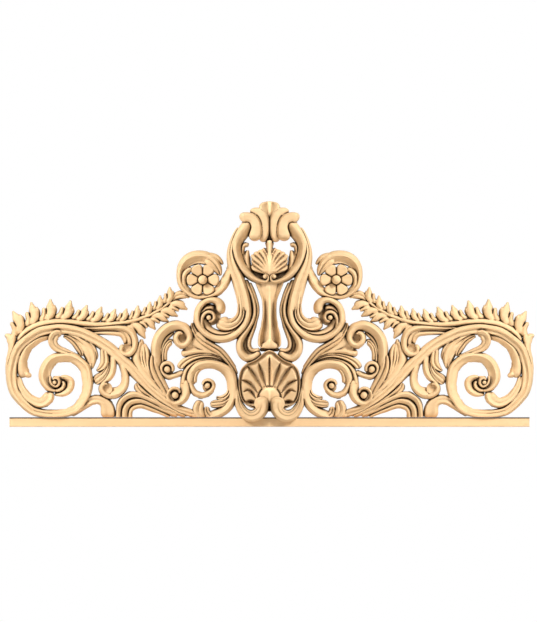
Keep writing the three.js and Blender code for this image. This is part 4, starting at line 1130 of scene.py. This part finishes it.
# The card's edge next to the carving, from its foot up: [z, y] in m
FLAG_EDGE = [(-0.01, -0.0125), (0.078, -0.0125), (0.082, -0.0165), (0.154, -0.0165),
             (0.155, -0.0175), (0.178, -0.0175), (0.18, -0.0148), (0.291, -0.0148),
             (0.295, -0.0215), (0.378, -0.0215), (0.382, -0.0145), (2.2, -0.0145)]
FLAG_FAR = -1.7               # y of its other edge
FLAG_TONE = (0.5, 0.46, 0.4)
FLOOR_SIZE = 6                # m
FLOOR_DROP = 0.5 * MM         # below the rail's underside
FLOOR_TONE = (0.82, 0.82, 0.82)


def lamp(name, spot, aim, size, power):
    """A square soft lamp at spot that looks at aim."""
    data = bpy.data.lights.new(name, "AREA")
    data.shape = "SQUARE"
    data.size = size
    data.energy = power
    light = bpy.data.objects.new(name, data)
    bpy.context.scene.collection.objects.link(light)
    light.location = spot
    light.rotation_euler = (Vector(aim) - Vector(spot)).to_track_quat("-Z", "Y").to_euler()


def plain_surface(name, tone, roughness):
    """A material of one tone."""
    material = bpy.data.materials.new(name)
    material.use_nodes = True
    surface = material.node_tree.nodes["Principled BSDF"]
    surface.inputs["Base Color"].default_value = (*tone, 1)
    surface.inputs["Roughness"].default_value = roughness
    return material


def flag():
    """A card that stands edge-on in front of the middle, unseen by the camera, so that each
    lamp lights its own half."""
    near = [(0, y, z) for z, y in FLAG_EDGE]
    outline = near + [(0, FLAG_FAR, near[-1][2]), (0, FLAG_FAR, near[0][2])]
    card = new_piece("flag", np.array(outline), [list(range(len(outline)))])
    bpy.context.scene.collection.objects.link(card)
    card.visible_camera = False
    card.data.materials.append(plain_surface("flag_felt", FLAG_TONE, 1.0))


def studio():
    """A pale floor under the rail, a soft lamp above each end, one in front, and a pale sky that
    shows white and lights less strongly than it shows."""
    bpy.ops.mesh.primitive_plane_add(size=FLOOR_SIZE, location=(0, 0, RAIL_LOW.z - FLOOR_DROP))
    floor = bpy.context.object
    floor.name = "floor"
    floor.data.materials.append(plain_surface("floor_paint", FLOOR_TONE, 0.8))
    for half in (-1, 1):
        turn = np.array([half, 1, 1])
        lamp("end lamp", turn * END_LAMP_SPOT, turn * END_LAMP_AIM, END_LAMP_SIZE, END_LAMP)
    lamp("front lamp", FRONT_LAMP_SPOT, FRONT_LAMP_AIM, FRONT_LAMP_SIZE, FRONT_LAMP)
    flag()
    world = bpy.data.worlds.new("studio")
    bpy.context.scene.world = world
    world.use_nodes = True
    nodes, links = world.node_tree.nodes, world.node_tree.links
    sky = nodes["Background"]
    sky.inputs["Color"].default_value = (1, 1, 1, 1)
    seen = nodes.new("ShaderNodeLightPath")
    level = nodes.new("ShaderNodeMapRange")
    level.inputs["To Min"].default_value = SKY_LIGHT
    level.inputs["To Max"].default_value = 1.0
    links.new(seen.outputs["Is Camera Ray"], level.inputs["Value"])
    links.new(level.outputs["Result"], sky.inputs["Strength"])
    bpy.context.scene.view_settings.view_transform = "Standard"


IMAGE_SIZE = (537, 622)       # of the picture, in points
CAMERA_AWAY = 3               # m in front
PATTERN_MIDDLE_X = 269.5      # where the middle of the pattern stands in the picture
PATTERN_FOOT_Y = 426.8        # where the rail's underside stands in the picture


def camera():
    """Straight on from the front, with parallel rays: one picture point is one pattern square."""
    data = bpy.data.cameras.new("front view")
    data.type = "ORTHO"
    data.ortho_scale = IMAGE_SIZE[1] * SQUARE
    view = bpy.data.objects.new("front view", data)
    bpy.context.scene.collection.objects.link(view)
    x = (IMAGE_SIZE[0] / 2 - PATTERN_MIDDLE_X) * SQUARE
    z = RAIL_LOW.z + (PATTERN_FOOT_Y - IMAGE_SIZE[1] / 2) * SQUARE
    view.location = (x, -CAMERA_AWAY, z)
    view.rotation_euler = (math.pi / 2, 0, 0)
    data.clip_end = 20
    bpy.context.scene.camera = view


crest = carve_crest()
crest.data.materials.clear()
# the carving's wood carries painted shade in its recesses
crest.data.materials.append(pale_wood("pale_carving_wood", WOOD_TONES, CARVING_HOLLOW_SHADE))
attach(crest, "root")
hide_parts("carved_crest")

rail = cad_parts["base_rail"]
rail.data.materials.clear()
# the rail's wood carries painted shade in its recesses and a painted shade line along its top edge
rail.data.materials.append(pale_wood("pale_rail_wood", WOOD_TONES, RAIL_HOLLOW_SHADE,
                                     RAIL_TOP - JOINT_SHADE_WIDTH))

studio()
camera()
